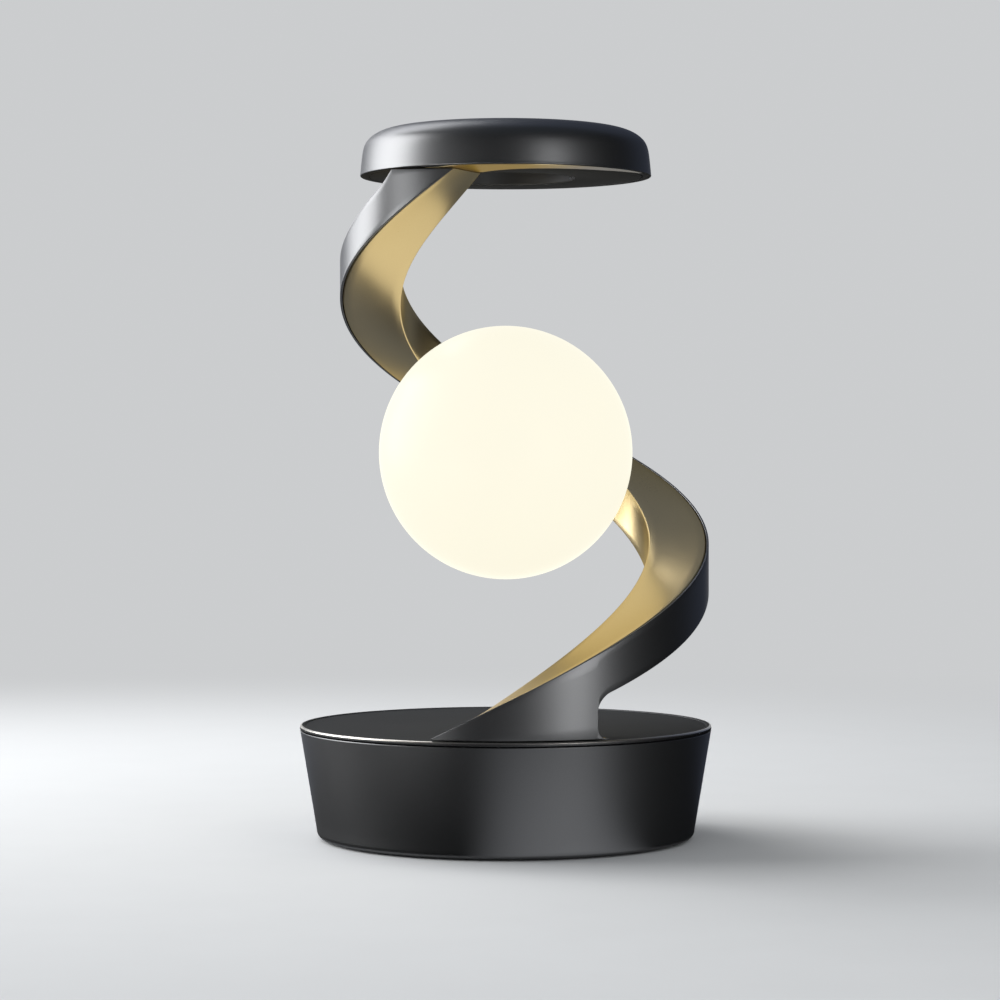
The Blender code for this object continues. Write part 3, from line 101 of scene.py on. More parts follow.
# The gold crescent where the band runs out under the pad
CRESCENT_ANGLES = (222, 229, 236, 243, 248, 254, 262, 272, 283, 300, 320, 340)
CRESCENT_INNER_SHARES = (0.585, 0.54, 0.5, 0.455, 0.43, 0.47, 0.54, 0.62, 0.7, 0.78, 0.85, 0.965)
CRESCENT_OUTER_SHARES = (0.9, 0.9, 0.9, 0.9, 0.95, 0.985, 0.985, 0.985, 0.985, 0.985, 0.985, 0.98)
CRESCENT_DROP = 0.00012
CRESCENT_THICKNESS = 0.0006
CRESCENT_FADE = (276.0, 316.0)

# Turned shapes
ROUND_FACETS = 192
GLOBE_FACETS = 128
BUTTON_FACETS = 64
CUTTER_FACETS = 48
EDGE_STEPS = 4
LIP_STEPS = 3
SLOT_STEPS = 8
SHARP_ANGLE = 32.0
MERGE_DISTANCE = 1e-6
LEAST_EDGE = 1e-7
PAD_HEIGHT_SHARES = (0.0, 0.355, 0.523, 0.685, 0.799, 0.906, 0.973, 1.0)
PAD_WIDTH_SHARES = (1.0, 0.989, 0.982, 0.969, 0.933, 0.878, 0.8, 0.7)
PAD_FLAT_SHARE = 0.35
PAD_PLATE_RADIUS = 0.0422
PAD_ROOM = 0.0052
PAD_ROUND = 0.00035
RECESS_RADIUS = 0.0217
RECESS_OFFSET = 0.0058
RECESS_DEPTH = 0.0045
PLATE_ROUND = 0.0006
PLATE_FOOT_ROUND = 0.0002
PLATE_RIM = 0.0012
PLATE_RECESS = 0.00025
SHELL_WALL = 0.0022
SHELL_FILLET = 0.0023
SHELL_RIM = 0.00025
ARM_ANGLE = 65.4
GLOBE_GAP = 0.0021
GLOBE_MOUTH = 0.0105
GLOBE_WALL = 0.0016

# The button and the inlet at the rear
BUTTON_RADIUS = 0.0032
BUTTON_FLANGE = 0.0008
BUTTON_ROUND = 0.0005
BUTTON_DISH = 0.0003
BUTTON_CUT_DEPTH = 0.004
INLET_CUT_DEPTH = 0.002
CUT_OVERRUN = 0.01
INLET_WALL = 0.0003
INLET_LIP_SHARES = ((0, 1 / 2), (1 / 8, 1 / 6), (1 / 2, 0), (7 / 8, 1 / 6), (1, 1 / 2))
INLET_TONGUE = 0.0007
INLET_TONGUE_WIDTH = 0.0067
INLET_NOSE_DEPTH = 0.0009
CONTACT_PITCH = 0.0005
CONTACT_COUNT = 12
CONTACT_SIZE = (0.00028, 0.0042, 0.00006)

# Colours, as linear red, green and blue
WHITE = (1, 1, 1, 1)
GRAPHITE = (0.165, 0.167, 0.170, 1)
GRAPHITE_PALE = (0.205, 0.208, 0.212, 1)
# Darker graphite: the turntable's own colour, and also painted shade on the pad's faces that look down
DARK_GRAPHITE_AND_SHADE = (0.080, 0.081, 0.083, 1)
DARK_GRAPHITE_AND_SHADE_PALE = (0.105, 0.107, 0.110, 1)
GRAPHITE_GRAZING = (0.50, 0.50, 0.51, 1)
TOP_GRAZING = (0.17, 0.175, 0.18, 1)
# Grazing tint of the painted shade on the pad's faces that look down
UNDERSIDE_SHADE_GRAZING = (0.04, 0.04, 0.041, 1)
GOLD_GRAZING = (0.58, 0.48, 0.30, 1)
CRESCENT_GRAZING = (0.32, 0.23, 0.07, 1)
GOLD = (0.72, 0.585, 0.345, 1)
GOLD_DEEP = (0.62, 0.49, 0.27, 1)
# Pale metal colour painted on the turntable's rounded edge as its highlight
RIM_HIGHLIGHT_DEEP = (0.42, 0.40, 0.36, 1)
RIM_HIGHLIGHT_PALE = (0.52, 0.50, 0.46, 1)
OPAL = (1.0, 0.965, 0.81, 1)
OPAL_WARM = (1.0, 0.955, 0.78, 1)
OPAL_SKIN = (0.04, 0.039, 0.036, 1)
OPAL_SKIN_PALE = (0.06, 0.058, 0.052, 1)
TONGUE_BLACK = (0.03, 0.03, 0.032, 1)
CONTACT_GOLD = (0.80, 0.58, 0.28, 1)
BACKDROP = (0.60, 0.61, 0.62, 1)

# Each grain: the scale and detail of its fine noise, the scale of its clouding, the fine noise's
# share of the colour, what each adds to the roughness, and the bump's strength and depth
Grain = namedtuple("Grain", "scale detail cloud share gloss cloud_gloss bump depth")
GRAPHITE_GRAIN = Grain(2400.0, 3.0, 28.0, 0.55, 0.10, 0.06, 0.10, 0.00004)
TOP_GRAIN = GRAPHITE_GRAIN._replace(bump=0.2)
GOLD_GRAIN = Grain(1800.0, 2.0, 40.0, 0.40, 0.08, 0.06, 0.06, 0.00004)
RIM_GRAIN = Grain(1500.0, 2.0, 40.0, 1.0, 0.10, 0.0, 0.05, 0.00003)
MOULDED_GRAIN = Grain(900.0, 3.0, 45.0, 0.50, 0.12, 0.0, 0.08, 0.00005)

# Mean roughness of each finish
GRAPHITE_ROUGHNESS = 0.41
TOP_ROUGHNESS = 0.50
UNDERSIDE_ROUGHNESS = 0.60
GOLD_ROUGHNESS = 0.30
RIM_ROUGHNESS = 0.35
TONGUE_ROUGHNESS = 0.50
CONTACT_ROUGHNESS = 0.25

# Each softbox: its azimuth, height, distance, width, tallness and radiance
SOFTBOXES = {
    "left_softbox": (165, 0.40, 0.88, 0.84, 0.78, 6.6),
    "left_edge_softbox": (131, 0.72, 0.92, 0.26, 0.40, 4.0),
    "high_left_softbox": (128, 0.86, 0.60, 0.50, 0.45, 4.5),
    "right_strip": (-55, 0.21, 0.88, 0.28, 0.42, 3.5),
    "low_right_strip": (-50, 0.06, 0.86, 0.22, 0.12, 7.0),
}


class Wire:
    """One value in a node tree. Sums and products of wires add their Math nodes."""

    def __init__(self, graph, socket):
        self.graph, self.socket = graph, socket

    def math(self, operation, *terms):
        return self.graph.add("ShaderNodeMath", {"operation": operation}, dict(enumerate(terms)))[0]

    def __add__(self, other):
        return self.math("ADD", self, other)

    def __radd__(self, other):
        return self.math("ADD", other, self)

    def __sub__(self, other):
        return self.math("SUBTRACT", self, other)

    def __rsub__(self, other):
        return self.math("SUBTRACT", other, self)

    def __mul__(self, other):
        return self.math("MULTIPLY", self, other)

    def __rmul__(self, other):
        return self.math("MULTIPLY", other, self)

    def __truediv__(self, other):
        return self.math("DIVIDE", self, other)

    def __pow__(self, other):
        return self.math("POWER", self, other)

    def at_least(self, other):
        return self.math("MAXIMUM", self, other)

    def at_most(self, other):
        return self.math("MINIMUM", self, other)


class Block:
    """One node; its outputs are read as wires, by name or number."""

    def __init__(self, graph, node):
        self.graph, self.node = graph, node

    def __getitem__(self, key):
        return Wire(self.graph, self.node.outputs[key])


class Graph:
    """A node tree that nodes are added to."""

    def __init__(self, tree):
        self.tree = tree
        tree.nodes.clear()

    def add(self, kind, settings=None, values=None):
        """A new node: its settings first, then the values or wires of its sockets."""
        node = self.tree.nodes.new(kind)
        for name, setting in (settings or {}).items():
            setattr(node, name, setting)
        for key, value in (values or {}).items():
            if isinstance(value, Wire):
                self.tree.links.new(value.socket, node.inputs[key])
            else:
                node.inputs[key].default_value = value
        return Block(self, node)

    def place(self):
        """The place on the object that is being shaded."""
        return self.add("ShaderNodeTexCoord")["Object"]

    def axes(self, place):
        return self.add("ShaderNodeSeparateXYZ", {}, {0: place})

    def blend(self, factor, first, second):
        """A colour between two colours."""
        return self.add("ShaderNodeMix", {"data_type": "RGBA"}, {0: factor, 6: first, 7: second})[2]

    def between(self, value, low, high):
        """0 below low, 1 above high and a soft step between them."""
        values = {"Value": value, "From Min": low, "From Max": high}
        return self.add("ShaderNodeMapRange", {"interpolation_type": "SMOOTHSTEP"}, values)["Result"]

    def noise(self, place, scale, detail=2.0):
        return self.add("ShaderNodeTexNoise", {}, {"Vector": place, "Scale": scale, "Detail": detail})["Fac"]

    def bump(self, height, strength, distance):
        values = {"Height": height, "Strength": strength, "Distance": distance}
        return self.add("ShaderNodeBump", {}, values)["Normal"]


# The band's formulas. They take an angle as a number or as a wire.


def spline_terms(shares):
    """The natural cubic through the stations, as a start, a slope and a bend from each station on."""
    count = len(shares)
    matrix, right = np.eye(count), np.zeros(count)
    for k in range(1, count - 1):
        matrix[k, k - 1 : k + 2] = 1.0, 4.0, 1.0
        right[k] = 6 * (shares[k + 1] - 2 * shares[k] + shares[k - 1])
    bends = np.linalg.solve(matrix, right)
    slope = shares[1] - shares[0] - bends[1] / 6
    thirds = np.diff(np.diff(bends), prepend=0.0)
    return shares[0], float(slope), [float(third) / 6 for third in thirds]


def positive(value):
    return value.at_least(0.0) if isinstance(value, Wire) else max(value, 0.0)


def share_at(terms, angle):
    start, slope, bends = terms
    turned = (angle - BAND_START) / BAND_STEP
    share = turned * slope + start
    for station, bend in enumerate(bends):
        share = share + positive(turned - float(station)) ** 3 * bend
    return share


RADIUS_TERMS = spline_terms(BAND_RADIUS_SHARES)
TOP_TERMS = spline_terms(BAND_TOP_SHARES)
LOW_TERMS = spline_terms(BAND_LOW_SHARES)
BAND_FLOOR = BASE_TOP + SEAM
BAND_SWEEP = BAND_STEP * (len(BAND_TOP_SHARES) - 1)


def band_outer(angle):
    return share_at(RADIUS_TERMS, angle) * (BAND_FOOT_RADIUS - BAND_HEAD_RADIUS) + BAND_HEAD_RADIUS


def band_depth(angle):
    return (angle - BAND_START) * ((BAND_HEAD_DEPTH - BAND_FOOT_DEPTH) / BAND_SWEEP) + BAND_FOOT_DEPTH


def band_top(angle):
    return share_at(TOP_TERMS, angle) * BAND_RISE + BASE_TOP


def band_low(angle):
    return share_at(LOW_TERMS, angle) * BAND_RISE + BASE_TOP


# Mesh helpers


def named_mesh(name, points, faces):
    mesh = bpy.data.meshes.new(name)
    mesh.from_pydata([tuple(point) for point in points], [], faces)
    return mesh


def tidy_mesh(mesh):
    """Merges doubles, turns faces outward and shades the mesh smooth up to its sharp edges."""
    work = bmesh.new()
    work.from_mesh(mesh)
    bmesh.ops.remove_doubles(work, verts=work.verts, dist=MERGE_DISTANCE)
    bmesh.ops.dissolve_degenerate(work, edges=work.edges, dist=LEAST_EDGE)
    bmesh.ops.recalc_face_normals(work, faces=work.faces)
    work.to_mesh(mesh)
    work.free()
    mesh.shade_smooth()
    mesh.set_sharp_from_angle(angle=math.radians(SHARP_ANGLE))


def placed(name, mesh, material=None):
    obj = bpy.data.objects.new(name, mesh)
    bpy.context.scene.collection.objects.link(obj)
    if material:
        mesh.materials.append(material)
    return obj


def settle(obj):
    """Makes the object with its modifiers a plain mesh."""
    graph = bpy.context.evaluated_depsgraph_get()
    mesh = bpy.data.meshes.new_from_object(obj.evaluated_get(graph), depsgraph=graph)
    obj.modifiers.clear()
    obj.data = mesh


def arc(centre, radius, start, end, steps):
    """Points of a rounded corner in a section, from one angle to another."""
    turns = np.radians(np.linspace(start, end, steps + 1))
    return [(centre[0] + radius * math.cos(t), centre[1] + radius * math.sin(t)) for t in turns]


def ring_faces(first, size, rings):
    """Faces between rings of size points each, whose points are numbered from first on."""
    faces = []
    for start in range(first, first + (rings - 1) * size, size):
        for j in range(size):
            one, two = start + j, start + (j + 1) % size
            faces.append((one, two, two + size, one + size))
    return faces


def end_faces(first, size, rings):
    """The two faces that close such a row of rings."""
    last = first + (rings - 1) * size
    return [tuple(range(first, first + size)), tuple(reversed(range(last, last + size)))]


def lofted_mesh(name, rings):
    """A closed shape through rings that have as many points each."""
    size, count = len(rings[0]), len(rings)
    points = [point for ring in rings for point in ring]
    mesh = named_mesh(name, points, ring_faces(0, size, count) + end_faces(0, size, count))
    tidy_mesh(mesh)
    return mesh


def turned_mesh(name, section, facets=ROUND_FACETS, frame_of=None):
    """A turned shape. A section point is (radius, height) or (radius, height, offset along +Y)."""
    points, rings = [], []
    for radius, height, *offset in section:
        shift = offset[0] if offset else 0.0
        count = facets if radius > 0 else 1
        turns = [2 * math.pi * k / facets for k in range(count)]
        rings.append(range(len(points), len(points) + count))
        points += [Vector((radius * math.cos(t), radius * math.sin(t) + shift, height)) for t in turns]
    pairs = list(zip(rings, rings[1:]))
    if section[0][0] > 0:
        pairs.append((rings[-1], rings[0]))
    faces = []
    for one, two in pairs:
        for k in range(facets):
            after = k + 1
            corners = [one[k % len(one)], one[after % len(one)], two[after % len(two)], two[k % len(two)]]
            face = list(dict.fromkeys(corners))
            if len(face) > 2:
                faces.append(face)
    if frame_of:
        points = [frame_of @ point for point in points]
    mesh = named_mesh(name, points, faces)
    tidy_mesh(mesh)
    return mesh


def along_y(middle):
    """The frame that lays a turned shape along Y through a middle."""
    return Matrix.Translation((middle.x, 0, middle.z)) @ Matrix.Rotation(-math.pi / 2, 4, "X")


def box_and_middle(node):
    low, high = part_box(node)
    return low, high, (low + high) / 2


def dressed(obj, body, slot, *nodes):
    """Lets a finished piece ride its body in place of its nodes."""
    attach(obj, body)
    if nodes:
        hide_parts(*nodes)


def second_finish(obj, material, chosen):
    """Gives the faces that are chosen a second finish."""
    obj.data.materials.append(material)
    for face in obj.data.polygons:
        if chosen(face):
            face.material_index = 1


def cut_away(obj, *cutters):
    """Cuts each cutter out of the piece, then removes the cutters."""
    for cutter in cutters:
        cutter.hide_render = True
        modifier = obj.modifiers.new("cut", "BOOLEAN")
        modifier.operation, modifier.solver, modifier.object = "DIFFERENCE", "EXACT", cutter
    settle(obj)
    for cutter in cutters:
        bpy.data.objects.remove(cutter)
    tidy_mesh(obj.data)


# Geometry Nodes trees


def new_tree(name, sizes):
    """A tree with a named input for each size, its graph and what the tree is given."""
    tree = bpy.data.node_groups.new(name, "GeometryNodeTree")
    graph = Graph(tree)
    for size, kind in {"Geometry": "Geometry", **sizes}.items():
        tree.interface.new_socket(size, in_out="INPUT", socket_type="NodeSocket" + kind)
    tree.interface.new_socket("Geometry", in_out="OUTPUT", socket_type="NodeSocketGeometry")
    return tree, graph, graph.add("NodeGroupInput")


def end_tree(graph, geometry, material):
    """Makes instances real, paints the result and gives it out."""
    whole = graph.add("GeometryNodeRealizeInstances", {}, {"Geometry": geometry})
    painted = graph.add("GeometryNodeSetMaterial", {}, {"Geometry": whole["Geometry"], "Material": material})
    graph.add("NodeGroupOutput", {}, {"Geometry": painted["Geometry"]})


def run_tree(obj, tree, sizes):
    """Runs the tree on the object, with each size set by its socket's identifier."""
    modifier = obj.modifiers.new(tree.name, "NODES")
    modifier.node_group = tree
    sockets = {item.name: item.identifier for item in tree.interface.items_tree if item.in_out == "INPUT"}
    for size, value in sizes.items():
        modifier[sockets[size]] = value
    settle(obj)


# Camera, lamps and studio


def make_camera():
    """A level camera in front of the lamp, framed as the photograph is."""
    distance, eye_height, lens = 0.9513, 0.1193, 110.7
    shift_x, shift_y, reach = -0.0057, -0.0487, 30.0
    data = bpy.data.cameras.new("view")
    data.lens, data.shift_x, data.shift_y = lens, shift_x, shift_y
    data.dof.use_dof = False
    data.clip_end = reach
    camera = bpy.data.objects.new("view", data)
    camera.location = (0, -distance, eye_height)
    camera.rotation_euler = (math.radians(90), 0, 0)
    bpy.context.scene.collection.objects.link(camera)
    bpy.context.scene.camera = camera


def softbox(name, azimuth, height, distance, width, tall, radiance):
    """A soft lamp at an azimuth round the object, turned to face its middle."""
    middle = Vector((0, 0, LAMP_TOP / 2))
    turn = math.radians(azimuth)
    place = Vector((distance * math.cos(turn), distance * math.sin(turn), height))
    data = bpy.data.lights.new(name, "AREA")
    data.shape, data.size, data.size_y = "RECTANGLE", width, tall
    data.energy = radiance * math.pi * width * tall
    lamp = bpy.data.objects.new(name, data)
    lamp.location = place
    lamp.rotation_euler = (place - middle).to_track_quat("Z", "Y").to_euler()
    bpy.context.scene.collection.objects.link(lamp)


def seen_directly(graph):
    """1 for rays from the camera, from a gloss or through glass, which see the pale backdrop."""
    path = graph.add("ShaderNodeLightPath")
    seen = path["Is Camera Ray"] + path["Is Glossy Ray"] + path["Is Transmission Ray"]
    return seen.at_most(1.0)


def distance_out(axes):
    """The distance of a place from the lamp's axis."""
    return (axes["X"] * axes["X"] + axes["Y"] * axes["Y"]) ** 0.5


def new_material(name):
    material = bpy.data.materials.new(name)
    material.use_nodes = True
    return material, Graph(material.node_tree)


def make_world():
    ambient = (0.45, 0.46, 0.47, 1)
    world = bpy.data.worlds.new("studio")
    world.use_nodes = True
    graph = Graph(world.node_tree)
    colour = graph.blend(seen_directly(graph), ambient, BACKDROP)
    background = graph.add("ShaderNodeBackground", {}, {"Color": colour, "Strength": 1.0})
    graph.add("ShaderNodeOutputWorld", {}, {"Surface": background["Background"]})
    bpy.context.scene.world = world


def make_floor():
    """A pale floor that keeps the shadow and fades into the backdrop away from the lamp."""
    reach, fade_start, fade_end = 8.0, 0.22, 0.75
    grain_scale, grain_tone = 40.0, 0.97
    material, graph = new_material("pale_floor")
    place = graph.place()
    tint = graph.blend(graph.noise(place, grain_scale), BACKDROP, tuple(grain_tone * c for c in BACKDROP))
    matt = graph.add("ShaderNodeBsdfDiffuse", {}, {"Color": tint})
    glow = graph.add("ShaderNodeEmission", {}, {"Color": BACKDROP, "Strength": 1.0})
    away = distance_out(graph.axes(place))
    faded = graph.between(away, fade_start, fade_end) * seen_directly(graph)
    mixed = graph.add("ShaderNodeMixShader", {}, {0: faded, 1: matt[0], 2: glow[0]})
    graph.add("ShaderNodeOutputMaterial", {}, {"Surface": mixed[0]})
    points = [(x * reach, y * reach, 0) for x, y in ((-1, -1), (1, -1), (1, 1), (-1, 1))]
    placed("floor", named_mesh("floor", points, [(0, 1, 2, 3)]), material)


def make_gloss_card(name, points, faces, strength, tone_of=None):
    """A glowing piece of the studio that only gloss sees, white or in a tone that nodes give."""
    material, graph = new_material(name)
    tone = tone_of(graph) if tone_of else WHITE
    glow = graph.add("ShaderNodeEmission", {}, {"Color": tone, "Strength": strength})
    graph.add("ShaderNodeOutputMaterial", {}, {"Surface": glow[0]})
    card = placed(name, named_mesh(name, points, faces), material)
    for seen in ("camera", "diffuse", "transmission", "shadow", "volume_scatter"):
        setattr(card, "visible_" + seen, False)


def make_flags():
    """Studio cloth round the lamp, overhead and on the floor, which only gloss sees."""
    radius, height, reach, panels = 1.05, 1.5, 3.0, 64
    clearance = 0.0005
    turns = np.radians(np.linspace(0, 360, panels, endpoint=False))
    points = []
    for out, z in ((radius, 0.0), (radius, height), (BASE_FOOT_RADIUS, clearance), (reach, clearance)):
        points += [(out * math.cos(t), out * math.sin(t), z) for t in turns]
    ceiling = tuple(range(panels, 2 * panels))
    faces = ring_faces(0, panels, 2) + [ceiling] + ring_faces(2 * panels, panels, 2)

    def cloth_tone(graph):
        """Dark round the front, cooler above, pale low down behind and paler by the base's front."""
        wall_tone, over_tone, over_share = (0.022, 0.023, 0.025, 1), (0.080, 0.090, 0.105, 1), 0.5
        back_tone, back_from, back_full = (0.17, 0.20, 0.28, 1), 0.3, 0.8
        pale_tone, pale_azimuth, pale_reach, pale_full = (0.95, 0.95, 0.93, 1), 91.0, 30.0, 16.0
        pale_top, dark_from = 0.12, 0.46
        lit_tone, lit_azimuth, lit_reach, lit_full = (0.50, 0.51, 0.53, 1), 289.0, 34.0, 3.0
        lit_edge, lit_end, lit_low, lit_top = 0.12, 0.20, 0.002, 0.02
        axes = graph.axes(graph.place())
        away = distance_out(axes)

        def near_azimuth(azimuth, far, full):
            """1 within an angle of the azimuth and 0 beyond a wider one."""
            turn = math.radians(azimuth)
            facing = (axes["X"] * math.cos(turn) + axes["Y"] * math.sin(turn)) / away
            return graph.between(facing, math.cos(math.radians(far)), math.cos(math.radians(full)))

        above = graph.blend(graph.between(axes["Z"], over_share * height, height), wall_tone, over_tone)
        dark = graph.blend(graph.between(axes["Y"] / away, back_from, back_full), above, back_tone)
        behind = near_azimuth(pale_azimuth, pale_reach, pale_full)
        pale = behind * (1 - graph.between(axes["Z"], pale_top, dark_from))
        near_base = 1 - graph.between(away, lit_edge, lit_end)
        on_floor = 1 - graph.between(axes["Z"], lit_low, lit_top)
        lit = near_azimuth(lit_azimuth, lit_reach, lit_full) * near_base * on_floor
        return graph.blend(pale, graph.blend(lit, dark, lit_tone), pale_tone)

    make_gloss_card("flags", points, faces, 1.0, cloth_tone)


def make_bounce_card():
    """A bright card on the floor at the left, whose gloss shows on the leaning head of the band."""
    near, far, start, end, lift = 0.34, 0.95, 206, 238, 0.001
    strength, panels = 5.5, 8
    count = panels + 1
    turns = np.radians(np.linspace(start, end, count))
    points = [(r * math.cos(t), r * math.sin(t), lift) for r in (near, far) for t in turns]
    faces = [(k, k + 1, k + 1 + count, k + count) for k in range(panels)]
    make_gloss_card("bounce_card", points, faces, strength)


def make_studio():
    bpy.context.scene.view_settings.view_transform = "Standard"
    make_world()
    make_floor()
    make_flags()
    make_bounce_card()
    for name, sizes in SOFTBOXES.items():
        softbox(name, *sizes)


# Finishes


def new_finish(name, constants):
    """A material with a Principled shader whose unvarying sockets are set on the shader itself."""
    material, graph = new_material(name)
    shader = graph.add("ShaderNodeBsdfPrincipled", {}, constants)
    graph.add("ShaderNodeOutputMaterial", {}, {"Surface": shader["BSDF"]})
    return material, graph, shader.node, graph.place()


def wire_up(graph, shader, **wires):
    """Links wires to the shader's sockets, whose names have an underscore for each space."""
    for name, wire in wires.items():
        graph.tree.links.new(wire.socket, shader.inputs[name.replace("_", " ")])


def satin(graph, place, grain, dark, pale, roughness):
    """A satin surface's colour, gloss round a mean roughness, and normal, from one grain."""
    fine = graph.noise(place, grain.scale, grain.detail)
    cloud = graph.noise(place, grain.cloud)
    colour = graph.blend(fine * grain.share + cloud * (1 - grain.share), dark, pale)
    least = roughness - (grain.gloss + grain.cloud_gloss) / 2
    gloss = fine * grain.gloss + cloud * grain.cloud_gloss + least
    return colour, gloss, graph.bump(fine, grain.bump, grain.depth)


def satin_finish(name, grain, dark, pale, roughness, metallic=1.0, grazing=WHITE):
    """A satin finish between two colours, with a tint of its own for grazing light."""
    material, graph, shader, place = new_finish(name, {"Metallic": metallic, "Specular Tint": grazing})
    colour, gloss, normal = satin(graph, place, grain, dark, pale, roughness)
    wire_up(graph, shader, Base_Color=colour, Roughness=gloss, Normal=normal)
    return material


def graphite_finish(name):
    """Satin graphite paint with a fine moulded grain."""
    tones = (GRAPHITE, GRAPHITE_PALE)
    return satin_finish(name, GRAPHITE_GRAIN, *tones, GRAPHITE_ROUGHNESS, grazing=GRAPHITE_GRAZING)


def dark_graphite_and_shade_finish(name, grain, roughness, grazing):
    """The darker graphite of the turntable, and the painted shade on the pad's faces that look down: a
    darker copy of the graphite.
    """
    return satin_finish(name, grain, DARK_GRAPHITE_AND_SHADE, DARK_GRAPHITE_AND_SHADE_PALE, roughness, grazing=grazing)


def gold_finish():
    """Champagne gold: satin metal paint with a fine sparkle and soft clouding."""
    tones = (GOLD_DEEP, GOLD)
    return satin_finish("champagne_gold", GOLD_GRAIN, *tones, GOLD_ROUGHNESS, grazing=GOLD_GRAZING)


def rim_highlight_finish():
    """The painted highlight on the turntable's rounded rim: pale satin metal with a fine turned grain."""
    return satin_finish("rim_painted_highlight", RIM_GRAIN, RIM_HIGHLIGHT_DEEP, RIM_HIGHLIGHT_PALE, RIM_ROUGHNESS)


def plain_finish(name, colour, roughness, metallic=0.0):
    """A finish of small moulded or machined pieces, a little darker in its grain."""
    dark_share = 0.88
    dark = tuple(c * dark_share for c in colour[:3]) + (1,)
    return satin_finish(name, MOULDED_GRAIN, dark, colour, roughness, metallic)


def crescent_finish():
    """Gold that fades into the pad's graphite round the rim."""
    metal_lost, gloss_lost = 0.65, 0.12
    material, graph, shader, place = new_finish("gold_to_graphite", {"Specular Tint": CRESCENT_GRAZING})
    colour, gloss, normal = satin(graph, place, GOLD_GRAIN, GOLD_DEEP, GOLD, GOLD_ROUGHNESS)
    axes = graph.axes(place)
    turn = axes["Y"].math("ARCTAN2", axes["Y"], axes["X"]) * (180 / math.pi) + 360.0
    faded = graph.between(turn, *CRESCENT_FADE)
    wire_up(
        graph,
        shader,
        Base_Color=graph.blend(faded, colour, GRAPHITE),
        Metallic=1 - faded * metal_lost,
        Roughness=gloss + faded * gloss_lost,
        Normal=normal,
    )
    return material


def opal_finish():
    """The lit globe: opal plastic that glows evenly, a little warmer low down, with a satin skin."""
    skin_scale, cloud_scale, skin_bump, skin_depth = 2200.0, 90.0, 0.03, 0.00003
    warm_share, warm_fall, least_roughness, cloud_gloss = 0.7, 0.8, 0.36, 0.08
    constants = {"Emission Strength": 0.96, "Specular IOR Level": 0.05}
    material, graph, shader, place = new_finish("lit_opal", constants)
    low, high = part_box("globe_shell")
    cloud = graph.noise(place, cloud_scale)
    warm = 1 - graph.between(graph.axes(place)["Z"], low.z, high.z) * warm_fall
    glow = graph.blend((warm * warm_share + cloud * (1 - warm_share)).at_most(1.0), OPAL, OPAL_WARM)
    wire_up(
        graph,
        shader,
        Base_Color=graph.blend(cloud, OPAL_SKIN, OPAL_SKIN_PALE),
        Emission_Color=glow,
        Roughness=cloud * cloud_gloss + least_roughness,
        Normal=graph.bump(graph.noise(place, skin_scale), skin_bump, skin_depth),
    )
    return material


# Colour, roughness and metallic of each slot in which a CAD node is left showing
INNER_FINISHES = {
    "inner_plastic": ((0.16, 0.16, 0.165, 1), 0.5, 0.0),
    "white_nylon": ((0.78, 0.78, 0.76, 1), 0.45, 0.0),
    "rubber": ((0.025, 0.025, 0.027, 1), 0.75, 0.0),
    "steel": ((0.55, 0.55, 0.56, 1), 0.3, 1.0),
    "aluminium": ((0.72, 0.73, 0.74, 1), 0.32, 1.0),
    "copper": ((0.72, 0.38, 0.24, 1), 0.3, 1.0),
    "board": ((0.02, 0.13, 0.06, 1), 0.42, 0.0),
    "ferrite": ((0.045, 0.043, 0.042, 1), 0.55, 0.0),
    "led_yellow": ((0.85, 0.62, 0.10, 1), 0.35, 0.0),
    "lead_white": ((0.75, 0.74, 0.72, 1), 0.5, 0.0),
    "graphite_plastic": ((0.042, 0.044, 0.047, 1), 0.42, 0.0),
}


def dress_carried_nodes():
    """Every CAD node left showing gets the finish of its slot."""
    finishes = {slot: plain_finish(slot + "_finish", *values) for slot, values in INNER_FINISHES.items()}
    slots = {part["node"]: part["material_slot"] for part in frame["record"]["subparts"]}
    for name, node in frame["nodes"].items():
        if node.hide_render:
            continue
        node.data.materials.clear()
        node.data.materials.append(finishes[slots[name]])


# The spiral band


def fillet_fall(along, fillet):
    """A fillet's drop at a distance along it: its whole size at its steep end, nothing at the other."""
    return fillet - math.sqrt(max(fillet**2 - (fillet - along) ** 2, 0.0))


def band_stations(ceiling):
    """The band's stations from foot to head: (angle, low edge's drop, top edge's drop)."""

    def foot_drop(angle):
        return max(band_low(angle) - BAND_FLOOR, 0.0)

    def head_drop(angle):
        share = min(max((angle - FLARE_START) / (FLARE_END - FLARE_START), 0.0), 1.0)
        return -FLARE_RISE * share**2

    end = BAND_START + BAND_SWEEP
    while band_low(end) > ceiling - BAND_LEAST:
        end -= BAND_END_STEP
    stations = [(a, foot_drop(a), 0.0) for a in np.arange(BAND_START, NOTCH_ANGLE, BAND_FACET)]
    stations.append((NOTCH_ANGLE, foot_drop(NOTCH_ANGLE), 0.0))
    radius = band_outer(NOTCH_ANGLE)
    for share in np.linspace(0, 1, NOTCH_STEPS + 1):
        along = NOTCH_TOP_FILLET * (1 - math.cos(share * math.pi / 2))
        angle = NOTCH_ANGLE + NOTCH_WALL_TURN + math.degrees(along / radius)
        stations.append((angle, fillet_fall(along, NOTCH_TOP_FILLET), 0.0))
    free = np.arange(stations[-1][0] + BAND_FACET, end, BAND_FACET)
    rest = sorted({float(angle) for angle in [*free, FLARE_START, FLARE_END, end]})
    return stations + [(angle, 0.0, head_drop(angle)) for angle in rest]


def toe_stations():
    """The flared toe where the notch's wall meets the base: its top edge is a hollow curve."""
    bunching = 1.5
    radius = band_outer(NOTCH_ANGLE)
    stations = []
    for share in np.linspace(0, 1, NOTCH_STEPS + 1):
        along = NOTCH_TOE_FILLET * share**bunching
        angle = NOTCH_ANGLE + math.degrees(along / radius)
        top = BAND_FLOOR + max(fillet_fall(along, NOTCH_TOE_FILLET), BAND_EDGE / 2)
        stations.append((angle, band_low(angle) - BAND_FLOOR, band_top(angle) - top))
    return stations


